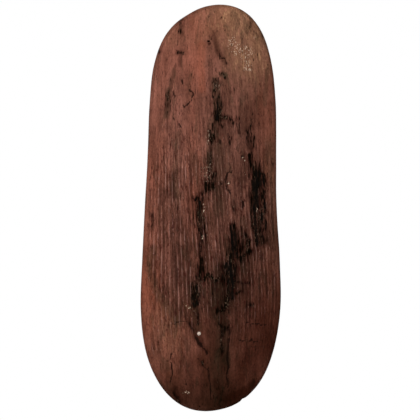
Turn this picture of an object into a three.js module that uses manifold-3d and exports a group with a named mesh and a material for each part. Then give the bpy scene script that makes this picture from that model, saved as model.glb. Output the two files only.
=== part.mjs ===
// A carved wooden hand shield: a long fluted board, hollowed behind for the knuckles, with a
// hardwood grip let into its back, pegged and bedded in gum.
// Millimetres. +Z runs up the board, the carved face looks along -Y, and the origin is the middle
// of the grip, where the fist closes round it.
import * as THREE from "three";
import { mergeVertices } from "three/addons/utils/BufferGeometryUtils.js";
import Module from "manifold-3d";

const wasm = await Module();
wasm.setup();

// Board
const BOARD_HEIGHT = 720;
const BOARD_WIDTH = 249;
const BOARD_DEPTH = 60; // back plane to the crown of the face
const RIM_THICKNESS = 11;
const LAND_WIDTH = 15; // flat band round the back, on which the shield lies
const DISH_DEPTH = 5; // how far the back is hollowed inside that band
const DISH_SLOPE = 26; // width over which the back falls from the band to the dish
const FACE_WALL = 10; // wood left in front of the hand hollow
const ARCH_POWER = 3; // a higher power keeps the crown line level nearer to the ends
const ARCH_ROOT = 0.8; // a lower root makes the ends fuller

// Outline, as shares of half the width, every 15 degrees round from the foot: up the right side,
// over the top and down the left side. The height of each is the sine of its angle.
const STATIONS = 24;
const FOOT_SHARE = -0.08;
const TOP_SHARE = 0.13;
const RIGHT_SHARES = [0.35, 0.68, 0.89, 0.992, 0.986, 0.942, 0.934, 0.93, 0.87, 0.727, 0.48];
const LEFT_SHARES = [0.25, 0.61, 0.805, 0.872, 0.898, 0.938, 0.976, 0.996, 0.922, 0.727, 0.44];

// Flutes carved down the face
const FLUTE_COUNT = 35;
const FLUTE_DEPTH = 1.3;
const FLUTE_LEAN_DEGREES = 4.5; // how far their tops lean to the left down the middle of the face
const FLUTE_TOP_SHARE = 0.74; // height where the flutes have run out, of half the board's height
const FLUTE_FOOT_SHARE = 0.94;
const FLUTE_FADE_SHARE = 0.3; // share of half the height over which they run out

// Hand hollow behind the grip
const HOLLOW_WIDTH = 106;
const HOLLOW_HEIGHT = 164;

// Grip
const GRIP_WIDTH = 25;
const GRIP_THICKNESS = 19;
const GRIP_RISE = 4; // how far the middle of the grip stands above its feet
const GRIP_FOOT_WIDTH = 42;
const GRIP_FOOT_LENGTH = 38;
const GRIP_FOOT_DEPTH = 14;
const GRIP_FOOT_CORNER = 12;
const GRIP_SWELL = 22; // length over which the grip widens inside the hollow
const GRIP_FOOT_SQUARENESS = 0.3; // power of the section's curve at a foot; 1 is an ellipse

// Pegs through the grip's feet
const PEG_DIAMETER = 6;
const PEG_LENGTH = 30;
const PEG_SPACING = 21;
const PEG_PROUD = 0.8;

// Gum round the grip's feet
const GUM_JOINT = 2.8; // width of the gum line between a foot and its housing
const GUM_PROUD = 1.2;

// Gum laid in the face, each an oval inlay that follows the flutes. Its middle is placed in shares
// of half the board's width and height, and its width and length are shares of the whole ones.
const GUM_FILL_DEPTH = 2.4;
const GUM_FILL_SHARES = {
  right: { acrossShare: 0.67, heightShare: 0.02, widthShare: 0.096, lengthShare: 0.189 },
  crown: { acrossShare: 0.076, heightShare: 0.54, widthShare: 0.072, lengthShare: 0.117 },
  centre: { acrossShare: -0.15, heightShare: -0.02, widthShare: 0.056, lengthShare: 0.122 },
  low: { acrossShare: 0.27, heightShare: -0.265, widthShare: 0.076, lengthShare: 0.183 },
  left: { acrossShare: -0.208, heightShare: -0.443, widthShare: 0.06, lengthShare: 0.061 },
};
// How far the top of each leans to the left
const GUM_FILL_LEAN_DEGREES = { right: 6, crown: 0, centre: -2, low: -5, left: -8 };

// Pale plug in the face, and the open pit of a wood borer
const PLUG_DIAMETER = 7.5;
const PLUG_LENGTH = 16;
const PLUG_PROUD = 0.5;
const PLUG_ACROSS_SHARE = -0.163;
const PLUG_HEIGHT_SHARE = -0.609;
const PIT_DIAMETER = 4.4;
const PIT_DEPTH = 9;
const PIT_ACROSS_SHARE = -0.03;
const PIT_HEIGHT_SHARE = 0.81;

// Clearance left between pieces, and how far a cut runs past what it cuts
const FIT = 0.3;
const OVERRUN = 5;

// Counts of facets
const ROWS = 30;
const NOSE_STEPS = 3;
const BACK_COLUMNS = 12;
const ROUND_SIDES = 14;
const OVAL_SIDES = 24;
const FILL_SIDES = 12;
const WAIST_STEPS = 3;
const FLARE_STEPS = 8;
const CORNER_STEPS = 4;
const GRIP_SIDES = 16;

// Levels along Y that the pieces share
const GRIP_BACK = GRIP_THICKNESS / 2;
const DISH_FLOOR = GRIP_BACK - GRIP_RISE;
const BACK_PLANE = DISH_FLOOR + DISH_DEPTH;
const NOSE = RIM_THICKNESS / 2;
const EDGE_LINE = BACK_PLANE - NOSE;
const DOME = BOARD_DEPTH - RIM_THICKNESS;
const HALF_HEIGHT = BOARD_HEIGHT / 2;
const HALF_WIDTH = BOARD_WIDTH / 2;

// Finishes
const ochre = new THREE.MeshStandardMaterial({ color: "#6f4436", roughness: 0.62, metalness: 0 });
const hardwood = new THREE.MeshStandardMaterial({ color: "#5a3322", roughness: 0.45, metalness: 0 });
const gum = new THREE.MeshStandardMaterial({ color: "#1a1511", roughness: 0.35, metalness: 0 });
const pale = new THREE.MeshStandardMaterial({ color: "#b9a598", roughness: 0.8, metalness: 0 });

// Solids

/** A closed geometry as a solid that can be cut and joined. */
function solidFrom(geometry) {
  const bare = geometry.clone();
  bare.deleteAttribute("normal");
  bare.deleteAttribute("uv");
  const merged = mergeVertices(bare);
  return new wasm.Manifold(
    new wasm.Mesh({
      numProp: 3,
      vertProperties: new Float32Array(merged.attributes.position.array),
      triVerts: new Uint32Array(merged.index.array),
    }),
  );
}

/** A solid's surface as a geometry. */
function geometryFrom(solid) {
  const mesh = solid.getMesh();
  const geometry = new THREE.BufferGeometry();
  geometry.setAttribute("position", new THREE.BufferAttribute(mesh.vertProperties, 3));
  geometry.setIndex(new THREE.BufferAttribute(mesh.triVerts, 1));
  geometry.computeVertexNormals();
  return geometry;
}

/** A geometry from corner points and triangles that index them. */
function geometryOf(points, triangles) {
  const geometry = new THREE.BufferGeometry();
  geometry.setFromPoints(points);
  geometry.setIndex(triangles);
  return geometry;
}

/** Rings of equal count joined one to the next, with both ends closed. */
function loft(rings) {
  const count = rings[0].length;
  const points = rings.flat();
  const triangles = [];
  for (let r = 0; r + 1 < rings.length; r++) {
    for (let i = 0; i < count; i++) {
      const a = r * count + i;
      const b = r * count + ((i + 1) % count);
      triangles.push(a, b, a + count, b, b + count, a + count);
    }
  }
  const last = (rings.length - 1) * count;
  for (let i = 1; i + 1 < count; i++) {
    triangles.push(0, i + 1, i);
    triangles.push(last, last + i, last + i + 1);
  }
  return geometryOf(points, triangles);
}

/** A shape drawn across (x) and up (z), as a prism between two levels along Y. */
function prism(shape, front, back) {
  const geometry = new THREE.ExtrudeGeometry(shape, {
    depth: back - front,
    bevelEnabled: false,
    curveSegments: FILL_SIDES,
  });
  // The extrusion runs along the drawing's own normal, which this turns to -Y.
  geometry.rotateX(Math.PI / 2);
  geometry.translate(0, back, 0);
  return solidFrom(geometry);
}

/** A round rod along Y between two levels, on the line through x and z. */
function rod(diameter, x, z, front, back) {
  const geometry = new THREE.CylinderGeometry(diameter / 2, diameter / 2, back - front, ROUND_SIDES);
  geometry.translate(x, (front + back) / 2, z);
  return geometry;
}

const smooth = (t) => THREE.MathUtils.smoothstep(t, 0, 1);

// Outline of the board

const outline = new THREE.CatmullRomCurve3(
  [FOOT_SHARE, ...RIGHT_SHARES, TOP_SHARE, ...LEFT_SHARES.map((share) => -share)].map(
    (share, i) =>
      new THREE.Vector3(
        share * HALF_WIDTH,
        0,
        -HALF_HEIGHT * Math.cos((i * 2 * Math.PI) / STATIONS),
      ),
  ),
  true,
  "catmullrom",
);

/** The outline's points moved inwards, one for each end of every row, foot and top included. */
function outlineRing(inset) {
  const ring = [];
  for (let k = 0; k < 2 * ROWS; k++) {
    const along = k / (2 * ROWS);
    const point = outline.getPoint(along);
    const tangent = outline.getTangent(along);
    ring.push(new THREE.Vector3(point.x - tangent.z * inset, 0, point.z + tangent.x * inset));
  }
  return ring;
}

// The left and right edges by height, from fine steps along the outline.
const EDGE_STEPS = 720;
const edgePoints = outline.getPoints(EDGE_STEPS);
const rightEdge = edgePoints.slice(0, EDGE_STEPS / 2 + 1);
const leftEdge = edgePoints.slice(EDGE_STEPS / 2).reverse();

/** Where an edge, listed from the foot up, crosses a height. */
function crossing(edge, z) {
  let i = edge.findIndex((p) => p.z >= z);
  if (i < 0) i = edge.length - 1;
  if (i === 0) i = 1;
  const a = edge[i - 1];
  const b = edge[i];
  const t = b.z === a.z ? 0 : THREE.MathUtils.clamp((z - a.z) / (b.z - a.z), 0, 1);
  return THREE.MathUtils.lerp(a.x, b.x, t);
}

/** How far the face swells in front of the rim. */
function dome(x, z) {
  const left = crossing(leftEdge, z);
  const right = crossing(rightEdge, z);
  const half = (right - left) / 2;
  const across = half > 0 ? Math.min(1, Math.abs(x - (left + right) / 2) / half) : 1;
  const up = Math.min(1, Math.abs(z) / HALF_HEIGHT);
  return DOME * (1 - across ** 2) * (1 - up ** ARCH_POWER) ** ARCH_ROOT;
}

/** Level of the face, before the flutes are cut. */
const faceLevel = (x, z) => BACK_PLANE - RIM_THICKNESS - dome(x, z);

/** Share of the full flute depth at a height. */
function fluteShare(z) {
  const up = z / HALF_HEIGHT;
  const end = up > 0 ? FLUTE_TOP_SHARE : FLUTE_FOOT_SHARE;
  return smooth((end - Math.abs(up)) / FLUTE_FADE_SHARE);
}

/** How far the back lies below the back plane, at a distance in from the flat band. */
const dish = (inwards) => DISH_DEPTH * smooth(inwards / DISH_SLOPE);

// Board

/**
 * The carved block with its flutes, rounded rim, flat band and dished back. A skin above zero
 * gives the wood that lies deeper than that under the face.
 */
function boardBlock(skin) {
  const points = [];
  const triangles = [];
  const ringCount = 2 * ROWS;

  const addRing = (inset, level) => {
    const start = points.length;
    for (const p of outlineRing(inset)) points.push(new THREE.Vector3(p.x, level(p), p.z));
    return start;
  };
  // Joins two rings. The front's faces wind one way and the back's the other.
  const joinRings = (outer, inner, front) => {
    for (let k = 0; k < ringCount; k++) {
      const next = (k + 1) % ringCount;
      const [a, b, c, d] = [outer + k, outer + next, inner + next, inner + k];
      if (front) triangles.push(a, b, c, a, c, d);
      else triangles.push(a, c, b, a, d, c);
    }
  };
  // Fills a ring with rows of columns, from its left side to its right. The columns lean most down
  // the middle, and keep to the outline at the sides. They straighten as the rows narrow.
  const fillRing = (ring, columns, leanDegrees, level, front) => {
    const fullSlope = Math.tan(THREE.MathUtils.degToRad(leanDegrees));
    const tri = (a, b, c) => (front ? triangles.push(a, b, c) : triangles.push(a, c, b));
    const rows = [];
    for (let i = 1; i < ROWS; i++) {
      const right = points[ring + i];
      const left = points[ring + ringCount - i];
      const row = [ring + ringCount - i];
      const slope = (fullSlope * (right.x - left.x)) / BOARD_WIDTH;
      for (let j = 1; j < columns; j++) {
        const t = j / columns;
        const p = left.clone().lerp(right, t);
        p.x -= slope * p.z * (1 - (2 * t - 1) ** 2);
        p.y = level(p, j, Math.min(p.x - left.x, right.x - p.x));
        row.push(points.push(p) - 1);
      }
      row.push(ring + i);
      rows.push(row);
    }
    for (let j = 0; j < columns; j++) {
      tri(ring, rows[0][j + 1], rows[0][j]);
      const last = rows[rows.length - 1];
      tri(ring + ROWS, last[j], last[j + 1]);
      for (let i = 0; i + 1 < rows.length; i++) {
        tri(rows[i][j], rows[i][j + 1], rows[i + 1][j + 1]);
        tri(rows[i][j], rows[i + 1][j + 1], rows[i + 1][j]);
      }
    }
  };

  const edge = addRing(0, () => EDGE_LINE);
  let frontRing = edge;
  let backRing = edge;
  for (let s = 1; s <= NOSE_STEPS; s++) {
    const turn = (s / NOSE_STEPS) * (Math.PI / 2);
    const inset = NOSE * (1 - Math.cos(turn));
    const rise = NOSE * Math.sin(turn);
    const skinHere = skin * Math.sin(turn);
    const front = addRing(inset, (p) => EDGE_LINE - rise - dome(p.x, p.z) + skinHere);
    const back = addRing(inset, () => EDGE_LINE + rise);
    joinRings(frontRing, front, true);
    joinRings(backRing, back, false);
    frontRing = front;
    backRing = back;
  }
  fillRing(
    frontRing,
    2 * FLUTE_COUNT,
    FLUTE_LEAN_DEGREES,
    (p, j) => faceLevel(p.x, p.z) + skin + (j % 2 ? FLUTE_DEPTH * fluteShare(p.z) : 0),
    true,
  );

  const land = addRing(NOSE + LAND_WIDTH, () => BACK_PLANE);
  joinRings(backRing, land, false);
  const landTop = HALF_HEIGHT - NOSE - LAND_WIDTH;
  fillRing(
    land,
    BACK_COLUMNS,
    0,
    (p, j, inwards) => BACK_PLANE - dish(Math.min(inwards, landTop - Math.abs(p.z))),
    false,
  );
  return solidFrom(geometryOf(points, triangles));
}

/** The hand hollow: half an egg sunk in the dished back. */
function hollowCut() {
  const egg = new THREE.SphereGeometry(1, OVAL_SIDES, OVAL_SIDES / 2);
  egg.rotateX(Math.PI / 2);
  const depth = BOARD_DEPTH - DISH_DEPTH - FACE_WALL;
  egg.scale(HOLLOW_WIDTH / 2, depth, HOLLOW_HEIGHT / 2);
  egg.translate(0, DISH_FLOOR, 0);
  return solidFrom(egg);
}

/** The oval outline of one gum fill, grown all round. */
function fillShape(name, grow) {
  const fill = GUM_FILL_SHARES[name];
  const shape = new THREE.Shape();
  shape.absellipse(
    fill.acrossShare * HALF_WIDTH,
    fill.heightShare * HALF_HEIGHT,
    fill.widthShare * HALF_WIDTH + grow,
    fill.lengthShare * HALF_HEIGHT + grow,
    0,
    2 * Math.PI,
    false,
    THREE.MathUtils.degToRad(GUM_FILL_LEAN_DEGREES[name]),
  );
  return shape;
}

// Grip

/** Half the grip's length, to the ends of its feet. */
const GRIP_HALF = HOLLOW_HEIGHT / 2 + GRIP_FOOT_LENGTH;

/** [z, half width] up the grip, grown all round: a waist between two feet with round corners. */
function gripStations(grow) {
  const cornerStart = GRIP_HALF - GRIP_FOOT_CORNER;
  const flareStart = HOLLOW_HEIGHT / 2 - GRIP_SWELL;
  const flareEnd = cornerStart;
  const upper = [];
  for (let i = 0; i < WAIST_STEPS; i++) {
    upper.push([(flareStart * i) / WAIST_STEPS, GRIP_WIDTH / 2 + grow]);
  }
  for (let i = 0; i <= FLARE_STEPS; i++) {
    const z = THREE.MathUtils.lerp(flareStart, flareEnd, i / FLARE_STEPS);
    const flare = smooth(i / FLARE_STEPS);
    upper.push([z, THREE.MathUtils.lerp(GRIP_WIDTH, GRIP_FOOT_WIDTH, flare) / 2 + grow]);
  }
  for (let i = 1; i <= CORNER_STEPS; i++) {
    const turn = (i / CORNER_STEPS) * (Math.PI / 2);
    const radius = GRIP_FOOT_CORNER + grow;
    upper.push([
      cornerStart + radius * Math.sin(turn),
      GRIP_FOOT_WIDTH / 2 - GRIP_FOOT_CORNER + radius * Math.cos(turn),
    ]);
  }
  const lower = upper.slice(1).map(([z, half]) => [-z, half]);
  return [...lower.reverse(), ...upper];
}

/** The grip's outline seen from behind, grown all round. */
function gripShape(grow) {
  const stations = gripStations(grow);
  const right = stations.map(([z, half]) => new THREE.Vector2(half, z));
  const left = stations.map(([z, half]) => new THREE.Vector2(-half, z)).reverse();
  return new THREE.Shape([...right, ...left]);
}

/** The grip: round where the fist holds it, thinning to flat feet. */
function gripGeometry() {
  const rings = gripStations(0).map(([z, half]) => {
    const footStart = HOLLOW_HEIGHT / 2 - GRIP_SWELL;
    const toFoot = smooth(Math.abs(z) / footStart);
    const back = THREE.MathUtils.lerp(GRIP_BACK, DISH_FLOOR, toFoot);
    const front = THREE.MathUtils.lerp(-GRIP_THICKNESS / 2, DISH_FLOOR - GRIP_FOOT_DEPTH, toFoot);
    const power = THREE.MathUtils.lerp(1, GRIP_FOOT_SQUARENESS, toFoot);
    const ring = [];
    for (let i = 0; i < GRIP_SIDES; i++) {
      const turn = (i / GRIP_SIDES) * 2 * Math.PI;
      const c = Math.cos(turn);
      const s = Math.sin(turn);
      ring.push(
        new THREE.Vector3(
          half * Math.sign(c) * Math.abs(c) ** power,
          (back + front) / 2 + ((back - front) / 2) * Math.sign(s) * Math.abs(s) ** power,
          z,
        ),
      );
    }
    return ring;
  });
  return loft(rings);
}

/** [x, z] of each peg, two in each foot. */
function pegPlaces() {
  const z = HOLLOW_HEIGHT / 2 + GRIP_FOOT_LENGTH / 2;
  const x = PEG_SPACING / 2;
  return [
    [-x, z],
    [x, z],
    [-x, -z],
    [x, -z],
  ];
}

const PEG_BACK = DISH_FLOOR + PEG_PROUD;
const PEG_FRONT = PEG_BACK - PEG_LENGTH;

/** The holes that the pegs are driven into, through the feet and on into the board. */
function pegHoles() {
  return pegPlaces().map(([x, z]) =>
    solidFrom(rod(PEG_DIAMETER + 2 * FIT, x, z, PEG_FRONT - FIT, BACK_PLANE + OVERRUN)),
  );
}

/** The gum bead round one foot of the grip, above (1) or below (-1) the hollow. */
function gumBead(side) {
  const front = DISH_FLOOR - GRIP_FOOT_DEPTH;
  const back = DISH_FLOOR + GUM_PROUD;
  const outer = prism(gripShape(GUM_JOINT - FIT), front, back);
  const inner = prism(gripShape(FIT), front - OVERRUN, back + OVERRUN);
  const reach = GRIP_HALF + OVERRUN;
  const start = HOLLOW_HEIGHT / 2;
  const keep = new THREE.BoxGeometry(BOARD_WIDTH, BOARD_DEPTH, reach - start);
  keep.translate(0, 0, (side * (reach + start)) / 2);
  return outer.subtract(inner).intersect(solidFrom(keep));
}

// Assembly

const shield = new THREE.Group();

/** Adds a piece to the shield under its own name. */
function addPiece(name, geometry, material) {
  const mesh = new THREE.Mesh(geometry, material);
  mesh.name = name;
  shield.add(mesh);
}

const block = boardBlock(0);
const underFills = boardBlock(GUM_FILL_DEPTH);
const filledSkin = block.subtract(boardBlock(GUM_FILL_DEPTH - FIT));
const plugX = PLUG_ACROSS_SHARE * HALF_WIDTH;
const plugZ = PLUG_HEIGHT_SHARE * HALF_HEIGHT;
const plugFront = faceLevel(plugX, plugZ) - PLUG_PROUD;
const plugBack = plugFront + PLUG_LENGTH;
const pitX = PIT_ACROSS_SHARE * HALF_WIDTH;
const pitZ = PIT_HEIGHT_SHARE * HALF_HEIGHT;
const pitFace = faceLevel(pitX, pitZ);

const housing = prism(
  gripShape(GUM_JOINT),
  DISH_FLOOR - GRIP_FOOT_DEPTH - FIT,
  BACK_PLANE + OVERRUN,
);
let board = block.subtract(hollowCut()).subtract(housing);
for (const hole of pegHoles()) board = board.subtract(hole);
board = board
  .subtract(solidFrom(rod(PLUG_DIAMETER + 2 * FIT, plugX, plugZ, plugFront - OVERRUN, plugBack + FIT)))
  .subtract(solidFrom(rod(PIT_DIAMETER, pitX, pitZ, pitFace - OVERRUN, pitFace + PIT_DEPTH)));

const faceFront = BACK_PLANE - BOARD_DEPTH - OVERRUN;
for (const name of Object.keys(GUM_FILL_SHARES)) {
  const pocket = prism(fillShape(name, FIT), faceFront, BACK_PLANE - RIM_THICKNESS);
  board = board.subtract(pocket.subtract(underFills));
  const inlay = prism(fillShape(name, 0), faceFront, BACK_PLANE - RIM_THICKNESS);
  addPiece(`gum_fill_${name}`, geometryFrom(inlay.intersect(filledSkin)), gum);
}
addPiece("shield_board", geometryFrom(board), ochre);

let grip = solidFrom(gripGeometry());
for (const hole of pegHoles()) grip = grip.subtract(hole);
addPiece("hand_grip", geometryFrom(grip), hardwood);

pegPlaces().forEach(([x, z], i) => {
  addPiece(`grip_peg_${i + 1}`, rod(PEG_DIAMETER, x, z, PEG_FRONT, PEG_BACK), hardwood);
});
addPiece("grip_gum_upper", geometryFrom(gumBead(1)), gum);
addPiece("grip_gum_lower", geometryFrom(gumBead(-1)), gum);
addPiece("pale_plug", rod(PLUG_DIAMETER, plugX, plugZ, plugFront, plugBack), pale);

export default shield;
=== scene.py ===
"""A carved wooden hand shield: fluted face, hollowed back and a let-in grip bedded in gum.

Metres. +Z runs up the board, the carved face looks along -Y, and the fist closes round the origin.
"""
from __future__ import annotations

import logging
import math
from dataclasses import dataclass, field
from enum import Enum
from typing import Mapping, Sequence, Union

import bpy
import numpy as np
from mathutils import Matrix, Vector


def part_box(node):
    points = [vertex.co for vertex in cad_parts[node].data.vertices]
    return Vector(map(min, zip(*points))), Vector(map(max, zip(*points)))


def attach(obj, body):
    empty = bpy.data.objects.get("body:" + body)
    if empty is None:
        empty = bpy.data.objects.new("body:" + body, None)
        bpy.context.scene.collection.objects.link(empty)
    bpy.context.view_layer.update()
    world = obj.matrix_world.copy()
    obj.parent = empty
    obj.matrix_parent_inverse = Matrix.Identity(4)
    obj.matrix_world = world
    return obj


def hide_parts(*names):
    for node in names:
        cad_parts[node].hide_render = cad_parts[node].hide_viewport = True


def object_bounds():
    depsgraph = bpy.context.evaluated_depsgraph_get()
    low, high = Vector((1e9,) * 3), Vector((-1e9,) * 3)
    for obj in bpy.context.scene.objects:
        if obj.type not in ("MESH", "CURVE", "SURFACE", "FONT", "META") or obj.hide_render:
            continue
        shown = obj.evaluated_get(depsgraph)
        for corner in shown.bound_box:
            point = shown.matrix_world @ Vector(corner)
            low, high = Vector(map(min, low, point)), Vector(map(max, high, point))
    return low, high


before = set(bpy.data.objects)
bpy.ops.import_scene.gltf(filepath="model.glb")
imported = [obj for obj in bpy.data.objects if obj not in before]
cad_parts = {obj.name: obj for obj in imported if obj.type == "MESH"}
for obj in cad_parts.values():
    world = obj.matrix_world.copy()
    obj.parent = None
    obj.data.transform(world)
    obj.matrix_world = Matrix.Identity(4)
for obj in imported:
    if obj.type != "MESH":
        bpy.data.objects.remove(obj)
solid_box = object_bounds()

log = logging.getLogger("shield")

MM = 0.001
FIT = 0.3 * MM  # clearance round the pegs, the gum and the plug
JOINT = 2.8 * MM  # gap round the grip's feet, which gum fills
OVERRUN = 5 * MM  # how far a cutter runs on beyond the surface
PLUG_RADIUS = 3.75 * MM
PEGS = tuple(f"grip_peg_{number}" for number in range(1, 5))
LAY = "lay"  # mesh attribute of the board: the place that its grain follows
END_GRAIN = "end_grain"  # mesh attribute of the pegs: 0.5 round the edge of a head, 1 on it
WHITE = "#ffffff"


# Slots and kinds of paint


class Slot(Enum):
    """The record's material slots."""

    OCHRED_WOOD = "ochred_wood"
    GRIP_WOOD = "grip_wood"
    GUM = "gum"
    PALE_WOOD = "pale_wood"


class Wear(Enum):
    """What is painted on the board, each under the name of its mesh attribute."""

    FLUTED = "fluted"
    VALLEY = "valley"
    RIDGE = "ridge"
    CREST = "crest"
    GUM = "gum_stain"
    CRACK = "crack"
    TAN = "tan"
    OLIVE = "olive"
    ROSE = "rose"
    OCHRE = "ochre"
    # Dirt, and painted shade that darkens the foot and the lower right
    DIRT_AND_SHADE = "dusk"
    SCUFF = "scuff"
    # Grime, and painted shade where the rounded edge turns away
    RIM_SHADE_AND_GRIME = "rim"
    BACK = "back"


# Noise and small shapes for meshes


def smooth(t: np.ndarray) -> np.ndarray:
    """Returns an S-curve from 0 to 1, level outside."""
    t = np.clip(t, 0.0, 1.0)
    return t * t * (3.0 - 2.0 * t)


def once_round(sides: int) -> np.ndarray:
    """Returns evenly spaced angles once round a circle."""
    return np.arange(sides) / sides * 2 * math.pi


def hoop(
    centre: tuple[float, float], reach: np.ndarray | float, turns: np.ndarray, y: np.ndarray | float
) -> np.ndarray:
    """Lists points round a line along Y.

    Args:
        centre: x and z of the line.
        reach: How far the points stand from it.
        turns: Their angles round it.
        y: Their level.

    Returns:
        One row to a point.
    """
    x = centre[0] + reach * np.cos(turns)
    z = centre[1] + reach * np.sin(turns)
    return np.column_stack([x, y + 0.0 * turns, z])


@dataclass(frozen=True)
class Unevenness:
    """Seeded smooth noise over a plane, for the wander and wear of hand work."""

    seed: int
    cells: int = 256
    layer_shift: tuple[float, float] = (17.3, 5.9)  # so that no two layers line up
    scoop_hollow: float = 1.6  # how fast a scoop shallows away from its middle
    scoop_ridge: float = 0.4  # how wide the ridge between two scoops is

    def _lattice(self) -> np.ndarray:
        """Returns the random values at the crossings of the lattice, from -1 to 1."""
        return np.random.default_rng(self.seed).uniform(-1.0, 1.0, (self.cells, self.cells))

    def at(self, u: np.ndarray, v: np.ndarray, layers: int = 1) -> np.ndarray:
        """Looks the noise up.

        Args:
            u: First coordinate, one noise cell to a unit.
            v: Second coordinate.
            layers: How many layers are added, each twice as fine and half as strong.

        Returns:
            Values from -1 to 1.
        """
        lattice = self._lattice()
        total = np.zeros(np.broadcast(u, v).shape)
        weight = 0.0
        for layer in range(layers):
            fineness = 2.0**layer
            a = u * fineness + self.layer_shift[0] * layer
            b = v * fineness + self.layer_shift[1] * layer
            left = np.floor(a).astype(int)
            low = np.floor(b).astype(int)
            s = smooth(a - left)
            t = smooth(b - low)
            left_cell, right_cell = left % self.cells, (left + 1) % self.cells
            low_cell, high_cell = low % self.cells, (low + 1) % self.cells
            bottom = lattice[left_cell, low_cell] * (1 - s) + lattice[right_cell, low_cell] * s
            top = lattice[left_cell, high_cell] * (1 - s) + lattice[right_cell, high_cell] * s
            total += (bottom * (1 - t) + top * t) / fineness
            weight += 1.0 / fineness
        return total / weight

    def scoops(self, u: np.ndarray, v: np.ndarray) -> tuple[np.ndarray, np.ndarray]:
        """Looks up the scoops that a small adze leaves.

        Args:
            u: First coordinate, about one scoop to a unit.
            v: Second coordinate.

        Returns:
            How deep each point lies in its scoop, from 0 to 1, and how near it is to the ridge
            between two scoops, from 0 to 1.
        """
        rng = np.random.default_rng(self.seed)
        jitter = rng.uniform(0.1, 0.9, (2, self.cells, self.cells))
        nearest = np.full(np.broadcast(u, v).shape, 9.0)
        second = nearest.copy()
        left = np.floor(u).astype(int)
        low = np.floor(v).astype(int)
        for du in (-1, 0, 1):
            for dv in (-1, 0, 1):
                i = (left + du) % self.cells
                j = (low + dv) % self.cells
                across = left + du + jitter[0, i, j] - u
                along = low + dv + jitter[1, i, j] - v
                distance = np.hypot(across, along)
                second = np.minimum(second, np.maximum(nearest, distance))
                nearest = np.minimum(nearest, distance)
        depth = 1 - np.minimum(nearest**2 * self.scoop_hollow, 1.0)
        return depth, smooth(1 - (second - nearest) / self.scoop_ridge)


# Meshes


def make_piece(
    name: str,
    points: np.ndarray,
    faces: Sequence[Sequence[int]],
    paint: Mapping[str, np.ndarray] | None = None,
) -> bpy.types.Object:
    """Makes an object from points and faces.

    Args:
        name: The object's name.
        points: One row of x, y and z to a point.
        faces: The points' indices round each face.
        paint: Attributes to store at the points: one number each, or three.

    Returns:
        The new object, linked to the scene and smoothly shaded.
    """
    mesh = bpy.data.meshes.new(name)
    mesh.from_pydata(points.tolist(), [], [list(face) for face in faces])
    for key, values in (paint or {}).items():
        if values.ndim == 1:
            layer = mesh.attributes.new(key, "FLOAT", "POINT")
            layer.data.foreach_set("value", values.astype(np.float32))
        else:
            layer = mesh.attributes.new(key, "FLOAT_VECTOR", "POINT")
            layer.data.foreach_set("vector", values.astype(np.float32).ravel())
    mesh.shade_smooth()
    mesh.update()
    piece = bpy.data.objects.new(name, mesh)
    bpy.context.scene.collection.objects.link(piece)
    return piece


def crease(piece: bpy.types.Object, degrees: float) -> None:
    """Marks edges that turn by more than an angle as sharp."""
    piece.data.set_sharp_from_angle(angle=math.radians(degrees))


def cut_away(piece: bpy.types.Object, cutters: Sequence[bpy.types.Object]) -> None:
    """Cuts each cutter out of a piece, for good, and deletes the cutters."""
    for cutter in cutters:
        cut = piece.modifiers.new("cut", "BOOLEAN")
        cut.operation = "DIFFERENCE"
        cut.solver = "MANIFOLD"
        cut.object = cutter
        evaluated = piece.evaluated_get(bpy.context.evaluated_depsgraph_get())
        mesh = bpy.data.meshes.new_from_object(evaluated)
        piece.modifiers.clear()
        worn_out = piece.data
        piece.data = mesh
        mesh.name = piece.name
        bpy.data.meshes.remove(worn_out)
        bpy.data.objects.remove(cutter)


def ring_faces(outer: int, inner: int, count: int, flip: bool = False) -> list[tuple[int, ...]]:
    """Joins two closed rings of points.

    Args:
        outer: Index of the first ring's first point.
        inner: Index of the second ring's first point.
        count: Points in each ring.
        flip: Whether the faces wind the other way.

    Returns:
        Four-sided faces.
    """
    faces = []
    for k in range(count):
        following = (k + 1) % count
        face = (outer + k, outer + following, inner + following, inner + k)
        faces.append(face[::-1] if flip else face)
    return faces


def loft(
    name: str, rings: Sequence[np.ndarray], paint: Mapping[str, Sequence[float]] | None = None
) -> bpy.types.Object:
    """Makes a closed piece through rings of equal count, each end closed by a fan.

    Args:
        name: The object's name.
        rings: Points round each ring.
        paint: Attributes to store at the points, one number to a ring.

    Returns:
        The new object.
    """
    count = len(rings[0])
    ends = [rings[0].mean(axis=0), rings[-1].mean(axis=0)]
    points = np.vstack([*rings, *ends])
    faces: list[tuple[int, ...]] = []
    for r in range(len(rings) - 1):
        faces += ring_faces(r * count, (r + 1) * count, count)
    last = (len(rings) - 1) * count
    first_end = len(rings) * count
    for k in range(count):
        following = (k + 1) % count
        faces.append((first_end, following, k))
        faces.append((first_end + 1, last + k, last + following))
    painted = {
        key: np.array([*np.repeat(values, count), values[0], values[-1]])
        for key, values in (paint or {}).items()
    }
    return make_piece(name, points, faces, painted)


@dataclass(frozen=True)
class Site:
    """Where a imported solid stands, seen along Y."""

    centre: tuple[float, float]
    half: tuple[float, float]
    front: float
    back: float

    @classmethod
    def of(cls, node: str) -> Site:
        """Measures a solid by its node's name."""
        low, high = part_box(node)
        centre = ((low[0] + high[0]) / 2, (low[2] + high[2]) / 2)
        return cls(centre, ((high[0] - low[0]) / 2, (high[2] - low[2]) / 2), low[1], high[1])


def rod(
    name: str, centre: tuple[float, float], radius: float, front: float, back: float, sides: int = 24
) -> bpy.types.Object:
    """Makes a round rod along Y.

    Args:
        name: The object's name.
        centre: x and z of its line.
        radius: Its radius.
        front: Level of its front end.
        back: Level of its back end.
        sides: Facets round it.

    Returns:
        The rod.
    """
    return loft(name, [hoop(centre, radius, once_round(sides), y) for y in (back, front)])


def peg_hole(node: str, gap: float) -> bpy.types.Object:
    """Makes the cutter of a peg's hole, wider than the peg by a gap all round."""
    peg = Site.of(node)
    return rod("peg_hole", peg.centre, peg.half[0] + gap, peg.front - FIT, peg.back + OVERRUN)


# Outline of the board


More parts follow.
